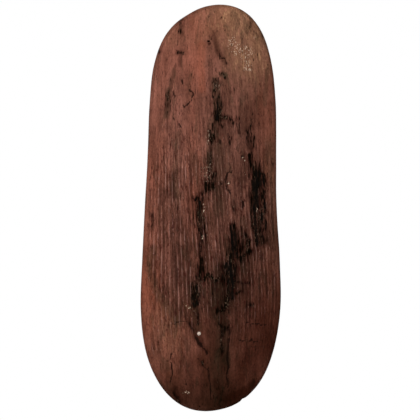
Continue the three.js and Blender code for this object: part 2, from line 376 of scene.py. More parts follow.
@dataclass(frozen=True)
class Outline:
    """The board's outline from the front.

    Shares of half the width stand every 15 degrees round from the foot, up the right side and down
    the left. The height of each is minus the cosine of its angle, times half the height.
    """

    half_width: float = 124.5 * MM
    half_height: float = 360 * MM
    foot_share: float = -0.08
    right_shares: tuple[float, ...] = (
        0.35, 0.68, 0.89, 0.992, 0.986, 0.942, 0.934, 0.93, 0.87, 0.727, 0.48,
    )
    top_share: float = 0.13
    left_shares: tuple[float, ...] = (
        0.25, 0.61, 0.805, 0.872, 0.898, 0.938, 0.976, 0.996, 0.922, 0.727, 0.44,
    )
    rows: int = 300
    tip_turn: float = 0.5  # radians at each tip where the rows draw closer
    nibble: float = 0.5 * MM  # how far the edge wanders in
    notch_turn: float = 0.34  # a chip out of the edge, low on the right
    notch_depth: float = 1.8 * MM
    notch_width: float = 0.018

    def row_turns(self) -> np.ndarray:
        """Returns the angle from the foot of every row, evenly high down the middle."""
        fine = np.linspace(0.0, math.pi, 2001)
        density = np.maximum(np.sin(fine), math.sin(self.tip_turn))
        climb = np.concatenate([[0.0], np.cumsum((density[1:] + density[:-1]) / 2)])
        return np.interp(np.linspace(0.0, climb[-1], self.rows + 1), climb, fine)

    def ring_turns(self) -> np.ndarray:
        """Returns the angles once round: up the right side, then down the left."""
        up = self.row_turns()
        return np.concatenate([up, 2 * math.pi - up[-2:0:-1]])

    def across(self, turns: np.ndarray) -> np.ndarray:
        """Returns x at each angle, on a smooth curve through the shares."""
        stations = np.array(
            [self.foot_share, *self.right_shares, self.top_share]
            + [-share for share in self.left_shares]
        )
        count = len(stations)
        place = np.asarray(turns) / (2 * math.pi) * count
        cell = np.floor(place).astype(int)
        t = place - cell
        before, here, there, after = (stations[(cell + k) % count] for k in (-1, 0, 1, 2))
        leave = (there - before) / 2
        arrive = (after - here) / 2
        curve = (
            (2 * t**3 - 3 * t**2 + 1) * here
            + (t**3 - 2 * t**2 + t) * leave
            + (3 * t**2 - 2 * t**3) * there
            + (t**3 - t**2) * arrive
        )
        return curve * self.half_width

    def ring(self, inset: float) -> tuple[np.ndarray, np.ndarray]:
        """Returns x and z once round the outline, moved inwards, with its chips and wander."""
        turns = self.ring_turns()
        step = 0.001
        x = self.across(turns)
        z = -self.half_height * np.cos(turns)
        run = self.across(turns + step) - self.across(turns - step)
        rise = self.half_height * (np.cos(turns - step) - np.cos(turns + step))
        length = np.hypot(run, rise)
        wander = Unevenness(seed=11).at(turns * 9.0, turns * 0.0, 3)
        nibbles = self.nibble * (0.6 + 0.5 * wander)
        notch = self.notch_depth * np.exp(-(((turns - self.notch_turn) / self.notch_width) ** 2))
        inwards = inset + nibbles + notch
        return x - rise / length * inwards, z + run / length * inwards

    def edges_at(self, z: np.ndarray) -> tuple[np.ndarray, np.ndarray]:
        """Returns the left and right edge's x at each height."""
        turns = np.linspace(0.0, math.pi, 721)
        heights = -self.half_height * np.cos(turns)
        right = np.interp(z, heights, self.across(turns))
        left = np.interp(z, heights, self.across(2 * math.pi - turns))
        return left, right


# Marks on the face


@dataclass(frozen=True)
class Mark:
    """A stain or crack along a listed line.

    Its points are shares of half the face's width and height.
    """

    wear: Wear
    points: tuple[tuple[float, float], ...]
    half_width: float
    strength: float = 1.0
    broken: float = 0.0  # how far it is broken away in flecks
    gloom: float = 0.42  # how far gum darkens the wood beside it

    def gap(self, x: np.ndarray, z: np.ndarray, outline: Outline) -> np.ndarray:
        """Returns how far each point is from the line."""
        places = np.array(self.points) * (outline.half_width, outline.half_height)
        nearest = np.full(x.shape, 1.0)
        for start, end in zip(places[:-1], places[1:]):
            run, rise = end - start
            along = ((x - start[0]) * run + (z - start[1]) * rise) / (run**2 + rise**2)
            along = np.clip(along, 0.0, 1.0)
            gap = np.hypot(x - start[0] - along * run, z - start[1] - along * rise)
            nearest = np.minimum(nearest, gap)
        return nearest

    def halo(self, x: np.ndarray, z: np.ndarray, outline: Outline) -> np.ndarray:
        """Returns how close each point is to the line, for the dirt that spreads from it."""
        return self.strength * smooth(1 - self.gap(x, z, outline) / (2 * self.half_width + 6 * MM))

    def cover(self, x: np.ndarray, z: np.ndarray, outline: Outline) -> np.ndarray:
        """Returns how much of the mark lies at each point, from 0 to 1."""
        nearest = self.gap(x, z, outline)
        if self.wear is Wear.GUM:
            body = smooth(1 - nearest / (1.8 * self.half_width))
            thin = smooth(1 - nearest / (3.6 * self.half_width))
            cover = 0.72 * body + 0.28 * thin
        else:
            cover = smooth((1.35 - nearest / self.half_width) / 0.8)
        if self.broken:
            flecks = Unevenness(seed=23).at(x / (3.2 * MM), z / (9.0 * MM), 2)
            cover = cover * smooth((flecks + 1.1 - 1.5 * self.broken) / 0.5)
        return self.strength * cover


@dataclass(frozen=True)
class Zone:
    """A soft patch of colour, placed and sized in shares of half the face."""

    wear: Wear
    centre: tuple[float, float]
    reach: tuple[float, float]
    strength: float

    def cover(self, x: np.ndarray, z: np.ndarray, outline: Outline) -> np.ndarray:
        """Returns how strong the patch is at each point."""
        across = (x / outline.half_width - self.centre[0]) / self.reach[0]
        along = (z / outline.half_height - self.centre[1]) / self.reach[1]
        return self.strength * np.exp(-(across**2) - along**2)


def strokes(wear: Wear, *rows: tuple) -> tuple[Mark, ...]:
    """Lists marks of one kind.

    Args:
        wear: Their kind.
        rows: Each one's points and half width in millimetres, then its strength and so on.

    Returns:
        The marks.
    """
    return tuple(Mark(wear, points, width * MM, *rest) for points, width, *rest in rows)


def patches(wear: Wear, *rows: tuple) -> tuple[Zone, ...]:
    """Lists patches of one kind, each from its centre, reach and strength."""
    return tuple(Zone(wear, *row) for row in rows)


MARKS: tuple[Mark, ...] = (
    *strokes(
        Wear.GUM,
        # Down the right side: a wedge, a broad body, and two strands under it
        (((0.55, 0.26), (0.57, 0.21), (0.62, 0.17)), 2.8, 0.85, 0.2),
        (((0.63, 0.18), (0.67, 0.15), (0.67, 0.11)), 6.2, 1.0, 0.15, 0.25),
        (((0.64, 0.12), (0.63, 0.06), (0.63, -0.01)), 5.2, 1.2),
        (((0.63, -0.01), (0.62, -0.06), (0.64, -0.1)), 3.4, 0.95, 0.1),
        (((0.75, 0.16), (0.77, 0.1), (0.74, 0.05), (0.77, 0.0)), 3.6, 0.8, 0.25),
        (((0.77, 0.0), (0.73, -0.05), (0.78, -0.09), (0.7, -0.13)), 3.8, 0.72, 0.45),
        # Streaks above it
        (((0.56, 0.4), (0.555, 0.34)), 1.8, 0.55, 0.45),
        (((0.51, 0.38), (0.54, 0.33), (0.57, 0.28)), 2.2, 0.55, 0.45),
        (((0.62, 0.35), (0.6, 0.29)), 1.8, 0.6, 0.45),
        (((0.39, 0.44), (0.4, 0.37)), 1.6, 0.5, 0.45),
        # Down the crown, breaking up below
        (((0.15, 0.66), (0.21, 0.64)), 2.2, 0.54),
        (((0.06, 0.62), (0.09, 0.55)), 4.0, 0.42, 0.45),
        (((0.06, 0.55), (0.11, 0.5), (0.09, 0.46)), 4.8, 0.84, 0.4),
        (((0.09, 0.48), (0.1, 0.44)), 5.2),
        (((0.14, 0.45), (0.25, 0.44), (0.32, 0.42)), 2.8, 0.78, 0.35),
        (((0.03, 0.42), (0.02, 0.38)), 2.8, 0.46, 0.45),
        (((0.02, 0.375), (0.02, 0.335)), 4.0, 0.76, 0.25),
        (((0.25, 0.37), (0.28, 0.33)), 2.8, 0.68, 0.4),
        (((0.01, 0.33), (0.0, 0.27), (-0.02, 0.2), (-0.02, 0.13)), 3.4, 0.34, 0.4, 0.2),
        (((0.04, 0.16), (0.02, 0.09)), 3.4, 0.75, 0.4),
        (((-0.03, 0.13), (-0.07, 0.08)), 4.0, 0.82, 0.2),
        # Down the centre
        (((-0.07, 0.09), (-0.16, 0.06), (-0.27, 0.05)), 3.0, 0.7, 0.4),
        (((-0.15, 0.05), (-0.16, -0.02), (-0.14, -0.08)), 4.6, 0.8, 0.15),
        (((-0.14, -0.08), (-0.14, -0.18), (-0.13, -0.28)), 2.8, 0.68, 0.25),
        (((-0.14, -0.28), (-0.14, -0.34)), 4.2, 0.95),
        (((-0.12, -0.335), (-0.02, -0.335), (0.1, -0.345)), 3.2, 0.82, 0.15),
        (((0.155, -0.33), (0.16, -0.36)), 2.4, 0.95),
        # Low on the right, and its branches
        (((0.33, -0.11), (0.34, -0.17), (0.34, -0.22)), 4.8, 0.9, 0.15),
        (((0.29, -0.09), (0.3, -0.14), (0.3, -0.2)), 2.4, 0.9),
        (((0.31, -0.21), (0.28, -0.3)), 4.4, 0.8),
        (((0.31, -0.26), (0.35, -0.285), (0.355, -0.325)), 1.9, 0.85),
        (((0.23, -0.3), (0.29, -0.335)), 6.6, 1.35),
        (((0.3, -0.34), (0.3, -0.39), (0.29, -0.43)), 3.4, 1.3),
        (((0.28, -0.42), (0.25, -0.455), (0.2, -0.5)), 3.6, 0.88, 0.15),
        (((0.2, -0.49), (0.13, -0.505), (0.08, -0.52)), 3.2, 0.66, 0.3),
        (((0.32, -0.425), (0.38, -0.42), (0.45, -0.405)), 1.7, 0.76, 0.1),
        (((0.36, -0.235), (0.47, -0.23), (0.56, -0.22)), 2.7),
        (((0.37, -0.25), (0.44, -0.25)), 2.2, 0.9),
        (((0.39, -0.15), (0.385, -0.19), (0.43, -0.205), (0.44, -0.17)), 1.9, 0.8, 0.15),
        (((0.49, -0.13), (0.53, -0.17), (0.53, -0.21)), 2.4, 0.84, 0.2),
        (((0.61, -0.09), (0.64, -0.12), (0.66, -0.14), (0.67, -0.175)), 3.2, 0.84, 0.2),
        (((0.74, -0.13), (0.755, -0.165)), 2.6, 0.78, 0.2),
        (((0.35, -0.36), (0.46, -0.366), (0.55, -0.37)), 1.7, 0.66, 0.3),
        (((-0.22, -0.39), (-0.21, -0.43), (-0.23, -0.46)), 5.4, 0.6, 0.25, 0.4),
        (((-0.22, -0.45), (-0.21, -0.48)), 4.6, 0.8, 0.15, 0.4),
        (((-0.19, -0.49), (-0.18, -0.57)), 2.8, 0.5, 0.3),
        # Small grey and dark stains
        (((-0.6, 0.56), (-0.61, 0.51), (-0.63, 0.47)), 4.4, 0.42, 0.2, 0.7),
        (((-0.47, 0.758), (-0.4, 0.756)), 2.1, 0.84),
        (((-0.44, 0.93), (-0.42, 0.89), (-0.42, 0.85)), 1.8, 0.58, 0.1),
        (((-0.43, 0.87), (-0.42, 0.85)), 2.4, 0.62),
        (((-0.74, 0.77), (-0.73, 0.76)), 1.8, 0.8),
        (((-0.83, -0.04), (-0.8, -0.08), (-0.84, -0.1)), 2.4, 0.6, 0.35),
        (((0.32, 0.03), (0.33, -0.02)), 2.4, 0.55, 0.3),
        (((0.56, -0.475), (0.6, -0.49)), 2.6, 0.56),
        (((-0.52, -0.9), (-0.45, -0.95)), 2.4, 0.6, 0.1),
        (((-0.115, -0.75), (-0.11, -0.77)), 1.8, 0.7),
        (((0.13, -0.57), (0.27, -0.6)), 3.0, 0.55, 0.35),
        (((0.15, -0.6), (0.16, -0.72)), 2.4, 0.5, 0.4),
        (((0.57, 0.92), (0.56, 0.88)), 2.6, 0.45, 0.3),
    ),
    *strokes(
        Wear.CRACK,
        # Cracks, borers' tracks and scratches
        (((0.13, 0.75), (0.16, 0.735), (0.2, 0.73), (0.23, 0.71)), 1.3, 0.8),
        (((-0.54, -0.57), (-0.48, -0.565), (-0.42, -0.553), (-0.33, -0.555)), 1.5, 0.66, 0.1),
        (((-0.3, -0.565), (-0.255, -0.6), (-0.2, -0.635)), 2.2, 0.6, 0.1),
        (((-0.2, -0.635), (-0.178, -0.656), (-0.128, -0.676)), 3.4, 0.78),
        (((-0.128, -0.676), (-0.071, -0.698), (-0.045, -0.72)), 2.0, 0.74),
        (((0.17, -0.6), (0.18, -0.645)), 2.8, 0.6, 0.3),
        (((0.18, -0.68), (0.19, -0.73)), 2.6, 0.6, 0.3),
        (((0.5, -0.563), (0.62, -0.57), (0.78, -0.575)), 1.8, 0.7, 0.4),
        (((0.42, -0.652), (0.56, -0.65), (0.72, -0.656)), 1.8, 0.66, 0.45),
        (((0.74, -0.78), (0.78, -0.785)), 1.6, 0.5, 0.3),
        (((0.27, -0.6), (0.25, -0.68), (0.23, -0.74)), 2.4, 0.7, 0.2),
        (((0.23, -0.74), (0.26, -0.78), (0.23, -0.83), (0.25, -0.88)), 1.7, 0.8, 0.15),
        (((0.3, -0.585), (0.25, -0.6), (0.16, -0.585)), 1.8, 0.55, 0.3),
        (((-0.51, -0.71), (-0.555, -0.715), (-0.575, -0.745)), 1.4, 0.72),
        (((-0.55, -0.76), (-0.545, -0.81), (-0.57, -0.85)), 1.5, 0.76, 0.1),
        (((-0.625, -0.754), (-0.565, -0.754)), 1.5, 0.74),
        (((-0.13, -0.75), (-0.1, -0.77), (-0.03, -0.8), (-0.01, -0.85), (0.01, -0.94)), 1.3, 0.68, 0.2),
        (((-0.07, -0.613), (0.07, -0.616)), 1.0, 0.5),
        (((-0.46, 0.83), (-0.48, 0.79)), 1.4, 0.55, 0.2),
        (((-0.3, 0.58), (-0.24, 0.56), (-0.27, 0.54)), 1.6, 0.9, 0.1),
        (((-0.27, 0.53), (-0.33, 0.505), (-0.4, 0.495)), 1.6, 0.85, 0.15),
        (((-0.53, 0.57), (-0.5, 0.545)), 2.2, 0.72, 0.2),
        (((-0.38, 0.495), (-0.41, 0.475)), 1.8, 0.6, 0.2),
        (((-0.53, 0.45), (-0.48, 0.42), (-0.43, 0.395)), 2.4, 0.7, 0.45),
        (((-0.51, 0.36), (-0.53, 0.33)), 2.2, 0.6, 0.4),
        (((-0.45, 0.015), (-0.47, -0.01)), 2.4, 0.6, 0.3),
        (((-0.41, 0.63), (-0.39, 0.605)), 2.0, 0.7, 0.3),
        (((0.31, 0.18), (0.24, 0.17), (0.21, 0.13), (0.225, 0.11), (0.28, 0.07)), 1.9, 0.76, 0.15),
        (((0.44, 0.285), (0.44, 0.25)), 2.0, 0.72, 0.2),
        (((0.135, 0.33), (0.14, 0.31)), 2.4, 0.6, 0.2),
        (((0.15, 0.125), (0.155, 0.115)), 2.0, 0.7),
        (((0.44, 0.035), (0.47, 0.02), (0.45, 0.0)), 2.0, 0.76, 0.2),
    ),
    *strokes(
        Wear.DIRT_AND_SHADE,
        # Dirt beside gum and cracks
        (((0.02, 0.625), (0.12, 0.62)), 4.0, 0.4),
        (((0.01, 0.33), (0.0, 0.24), (-0.01, 0.15)), 5.0, 0.3),
        (((-0.5, 0.7), (-0.55, 0.63), (-0.59, 0.55)), 2.8, 0.4, 0.3),
        (((-0.44, 0.745), (-0.43, 0.7)), 4.4, 0.34, 0.2),
        (((0.07, -0.85), (0.15, -0.93)), 7.0, 0.5),
        (((0.0, 0.84), (0.05, 0.83), (0.1, 0.77), (0.15, 0.74), (0.22, 0.71)), 4.0, 0.5),
        (((0.03, 0.87), (0.05, 0.84)), 3.0, 0.45),
        (((-0.03, 0.812), (-0.02, 0.808)), 3.6, 0.9),
        (((-0.01, 0.72), (0.0, 0.6), (-0.01, 0.47)), 5.0, 0.3),
        (((-0.3, -0.56), (-0.22, -0.6), (-0.16, -0.64), (-0.06, -0.71)), 5.0, 0.55),
        (((0.2, -0.58), (0.2, -0.7), (0.21, -0.85)), 8.0, 0.3),
        (((-0.5, -0.89), (-0.44, -0.95)), 6.0, 0.6),
        (((-0.72, -0.36), (-0.6, -0.42), (-0.45, -0.52)), 9.0, 0.3),
        (((-0.28, -0.57), (-0.2, -0.63), (-0.14, -0.67)), 5.5, 0.66),
        (((0.22, -0.94), (0.45, -0.9), (0.62, -0.86)), 7.0, 0.6),
        (((-0.49, 0.18), (-0.53, 0.1), (-0.5, 0.05)), 5.0, 0.35),
        (((0.08, 0.63), (0.08, 0.48), (0.04, 0.36), (0.02, 0.24), (0.0, 0.12)), 11.0, 0.1),
    ),
    *strokes(
        Wear.OLIVE,
        # Beside gum, and in broad bands
        (((0.14, 0.66), (0.22, 0.65)), 4.0, 0.8),
        (((-0.27, -0.38), (-0.22, -0.5), (-0.19, -0.6)), 7.0, 0.6),
        (((-0.6, 0.58), (-0.61, 0.51), (-0.63, 0.45)), 5.0, 0.8),
        (
            ((0.08, -0.38), (0.1, -0.52), (0.18, -0.56), (0.16, -0.68), (0.1, -0.78), (0.12, -0.95)),
            11.0,
            0.8,
        ),
        (((-0.82, -0.2), (-0.86, -0.31), (-0.78, -0.4), (-0.63, -0.48), (-0.45, -0.56)), 8.0, 0.6),
        (((-0.46, 0.36), (-0.5, 0.2), (-0.5, 0.05)), 6.0, 0.45),
        (((0.02, 0.1), (0.12, 0.2), (0.1, 0.3)), 10.0, 0.6),
        (((-0.52, 0.68), (-0.56, 0.62), (-0.6, 0.5)), 4.0, 0.5),
        (((0.06, 0.62), (0.08, 0.56), (0.1, 0.48)), 8.0, 0.75),
        (((0.04, 0.42), (0.02, 0.28), (0.1, 0.12), (0.12, -0.02)), 10.0, 0.6),
    ),
    *strokes(
        Wear.OCHRE,
        (((-0.12, 0.8), (-0.13, 0.68), (-0.12, 0.58)), 7.0, 0.45),
    ),
    *strokes(
        Wear.TAN,
        (((-0.38, -0.472), (-0.3, -0.49), (-0.2, -0.505)), 1.6, 1.0),
    ),
    *strokes(
        Wear.SCUFF,
        # Pale scratches and crackle
        (((-0.37, -0.478), (-0.3, -0.49), (-0.24, -0.5)), 1.2, 0.8),
        (((-0.38, -0.91), (-0.31, -0.91)), 1.6, 0.8, 0.2),
        (((-0.1, 0.02), (-0.09, -0.04)), 1.6, 0.7, 0.4),
        (((-0.115, -0.13), (-0.11, -0.16)), 1.3, 0.7),
        (((0.62, 0.834), (0.64, 0.836)), 1.5, 1.0),
        (((0.655, 0.0), (0.658, -0.025)), 1.3, 0.8),
        (((0.25, 0.125), (0.26, 0.118)), 1.5, 0.75),
        (((0.745, 0.195), (0.75, 0.18)), 1.4, 0.7),
        (((0.44, 0.25), (0.46, 0.245), (0.49, 0.23)), 1.3, 0.7, 0.2),
        (((0.69, 0.15), (0.7, 0.1)), 1.2, 0.5, 0.2),
        (((0.47, 0.18), (0.52, 0.16)), 1.3, 0.6, 0.3),
        (((0.74, 0.69), (0.76, 0.68)), 1.3, 0.8),
    ),
)

ZONES: tuple[Zone, ...] = (
    *patches(
        Wear.GUM,
        # Thin gum that only the deepest grooves hold
        ((0.68, 0.06), (0.13, 0.2), 0.34),
        ((0.72, -0.08), (0.11, 0.08), 0.34),
        ((0.09, 0.53), (0.11, 0.12), 0.4),
        ((0.23, 0.43), (0.16, 0.08), 0.3),
        ((0.54, 0.33), (0.11, 0.14), 0.28),
        ((0.48, -0.17), (0.2, 0.09), 0.34),
        ((0.28, -0.35), (0.17, 0.16), 0.36),
        ((0.14, -0.49), (0.13, 0.05), 0.34),
        ((-0.19, -0.43), (0.12, 0.08), 0.34),
        ((-0.14, -0.05), (0.08, 0.22), 0.3),
        ((0.0, 0.15), (0.1, 0.1), 0.36),
        ((0.05, -0.34), (0.2, 0.06), 0.33),
        ((0.17, -0.62), (0.12, 0.1), 0.24),
        ((0.1, -0.9), (0.18, 0.1), 0.24),
    ),
    *patches(
        Wear.DIRT_AND_SHADE,
        # Dirty patches, and painted shade that darkens the lower right and the foot
        ((0.14, -0.42), (0.17, 0.11), 0.5),
        ((-0.5, 0.42), (0.42, 0.2), 0.22),
        ((-0.6, 0.68), (0.22, 0.1), 0.16),
        ((-0.68, 0.77), (0.13, 0.1), 0.2),
        ((-0.36, 0.92), (0.2, 0.08), 0.16),
        ((0.92, -0.8), (0.2, 0.3), 0.4),
        ((-0.3, -0.6), (0.2, 0.1), 0.34),
        ((0.0, -0.65), (0.14, 0.1), 0.2),
        ((-0.45, -0.78), (0.3, 0.1), 0.12),
        ((0.07, 0.765), (0.12, 0.07), 0.68),
        ((-0.44, 0.86), (0.09, 0.12), 0.38),
        ((0.43, 0.17), (0.1, 0.12), 0.3),
        ((0.42, 0.0), (0.1, 0.08), 0.2),
        ((-0.43, 0.78), (0.08, 0.07), 0.24),
        ((-0.42, -0.22), (0.27, 0.28), 0.5),
        ((0.4, 0.1), (0.4, 0.25), 0.08),
        ((0.66, -0.05), (0.2, 0.13), 0.28),
        ((0.35, -0.35), (0.4, 0.2), 0.4),
        ((0.15, -0.62), (0.3, 0.2), 0.6),
        ((0.8, -0.6), (0.45, 0.35), 0.6),
        ((0.85, -0.72), (0.12, 0.12), 0.5),
        ((0.05, -0.78), (0.25, 0.2), 0.25),
        ((-0.35, -0.92), (0.3, 0.08), 0.3),
        ((0.5, -0.93), (0.3, 0.09), 0.5),
        ((0.65, -0.7), (0.25, 0.2), 0.35),
        # Painted shade: broad bands that darken the lower part towards the foot
        ((0.1, -0.98), (1.0, 0.11), 0.5),
        ((-0.42, -0.42), (0.14, 0.12), 0.34),
        ((0.1, -0.8), (1.2, 0.4), 0.5),
        ((0.1, -0.95), (1.0, 0.2), 0.68),
        ((0.15, 0.15), (0.35, 0.25), 0.08),
    ),
    *patches(
        Wear.OLIVE,
        ((0.2, 0.3), (0.25, 0.15), 0.26),
        ((0.1, 0.15), (0.22, 0.12), 0.3),
        ((0.69, 0.08), (0.06, 0.12), 0.6),
        ((0.12, -0.8), (0.22, 0.22), 0.85),
        ((0.0, -0.97), (0.8, 0.12), 0.9),
        ((0.14, -0.72), (0.14, 0.2), 0.5),
        ((0.14, -0.42), (0.2, 0.13), 0.8),
        ((-0.24, -0.45), (0.1, 0.12), 0.5),
        ((0.45, -0.3), (0.2, 0.1), 0.5),
    ),
    *patches(
        Wear.OCHRE,
        ((-0.55, 0.74), (0.3, 0.2), 0.35),
        ((-0.1, 0.9), (0.4, 0.1), 0.5),
        ((-0.22, 0.7), (0.16, 0.12), 0.5),
        # Along the left edge: red ochre, and a painted lighter side where the lamp falls
        ((-0.95, 0.0), (0.2, 0.35), 0.5),
        ((-0.9, -0.45), (0.2, 0.3), 0.9),
        ((-0.5, -0.62), (0.3, 0.16), 0.45),
        ((0.85, 0.4), (0.22, 0.3), 0.6),
        ((-0.24, 0.15), (0.12, 0.3), 0.6),
        # Left edge: red ochre, and a painted lighter side where the lamp falls
        ((-0.8, 0.2), (0.2, 0.3), 0.4),
        ((0.1, -0.85), (1.0, 0.3), 0.75),
        ((0.85, -0.55), (0.35, 0.3), 0.6),
    ),
    *patches(
        Wear.ROSE,
        ((-0.55, 0.72), (0.32, 0.22), 0.6),
        ((0.04, 0.755), (0.11, 0.055), 0.7),
        ((-0.44, 0.8), (0.07, 0.04), 0.8),
        # Left edge: rose, and a painted lighter side where the lamp falls
        ((-0.95, 0.3), (0.22, 0.35), 0.95),
        ((-0.35, 0.4), (0.5, 0.3), 0.55),
        ((0.35, 0.06), (0.2, 0.2), 0.6),
    ),
    *patches(
        Wear.TAN,
        ((0.4, 0.92), (0.45, 0.13), 0.9),
        ((0.55, 0.76), (0.34, 0.14), 0.75),
        ((0.62, 0.9), (0.2, 0.15), 0.5),
        ((-0.5, 0.84), (0.16, 0.06), 0.3),
        ((0.87, 0.05), (0.11, 0.3), 0.3),
        ((-0.55, -0.6), (0.26, 0.18), 0.36),
    ),
    *patches(
        Wear.SCUFF,
        ((0.3, 0.82), (0.08, 0.05), 0.48),
        ((0.46, 0.775), (0.2, 0.06), 0.5),
        ((0.53, 0.69), (0.07, 0.04), 0.48),
        ((0.08, 0.585), (0.1, 0.06), 0.4),
        ((-0.04, 0.17), (0.12, 0.08), 0.68),
        ((-0.04, 0.34), (0.05, 0.06), 0.46),
        ((0.72, -0.03), (0.07, 0.08), 0.46),
        ((-0.06, 0.0), (0.04, 0.1), 0.36),
    ),
)


BACK_MARKS: tuple[Mark, ...] = (
    *strokes(
        Wear.GUM,
        # Rubbed over the wood beside the grip's feet, and old smears
        (((-0.2, 0.25), (-0.16, 0.34), (0.04, 0.36), (0.2, 0.33), (0.22, 0.24)), 2.6, 0.75, 0.2),
        (((-0.22, -0.24), (-0.18, -0.33), (0.0, -0.36), (0.18, -0.34), (0.21, -0.25)), 2.6, 0.75, 0.2),
        (((0.1, 0.37), (0.13, 0.44), (0.1, 0.5)), 2.4, 0.6, 0.4),
        (((-0.55, -0.3), (-0.52, -0.4), (-0.56, -0.46)), 3.4, 0.62, 0.4),
    ),
    *strokes(
        Wear.CRACK,
        # Checks that follow the grain
        (((-0.36, 0.93), (-0.37, 0.8), (-0.35, 0.66), (-0.36, 0.55)), 1.2, 0.8, 0.1),
        (((0.3, -0.94), (0.31, -0.82), (0.29, -0.7)), 1.3, 0.85),
        (((0.31, -0.72), (0.33, -0.6), (0.32, -0.52)), 0.9, 0.6, 0.3),
        (((0.62, 0.5), (0.61, 0.38), (0.63, 0.26)), 0.9, 0.55, 0.3),
    ),
    *strokes(
        Wear.DIRT_AND_SHADE,
        # Dirt from the hand, and damp at the foot
        (((0.0, -0.3), (0.0, 0.3)), 70.0, 0.45),
        (((-0.3, -1.0), (0.4, -0.98)), 40.0, 0.5),
        (((0.5, 0.7), (0.4, 0.85), (0.1, 0.95)), 24.0, 0.35),
    ),
    *strokes(
        Wear.TAN,
        # Scratches
        (((-0.5, 0.2), (-0.38, 0.3)), 1.2, 0.8, 0.2),
        (((0.45, -0.42), (0.56, -0.37)), 1.2, 0.8, 0.2),
        (((-0.2, -0.66), (-0.05, -0.62)), 1.2, 0.7, 0.2),
    ),
)


# Carved face


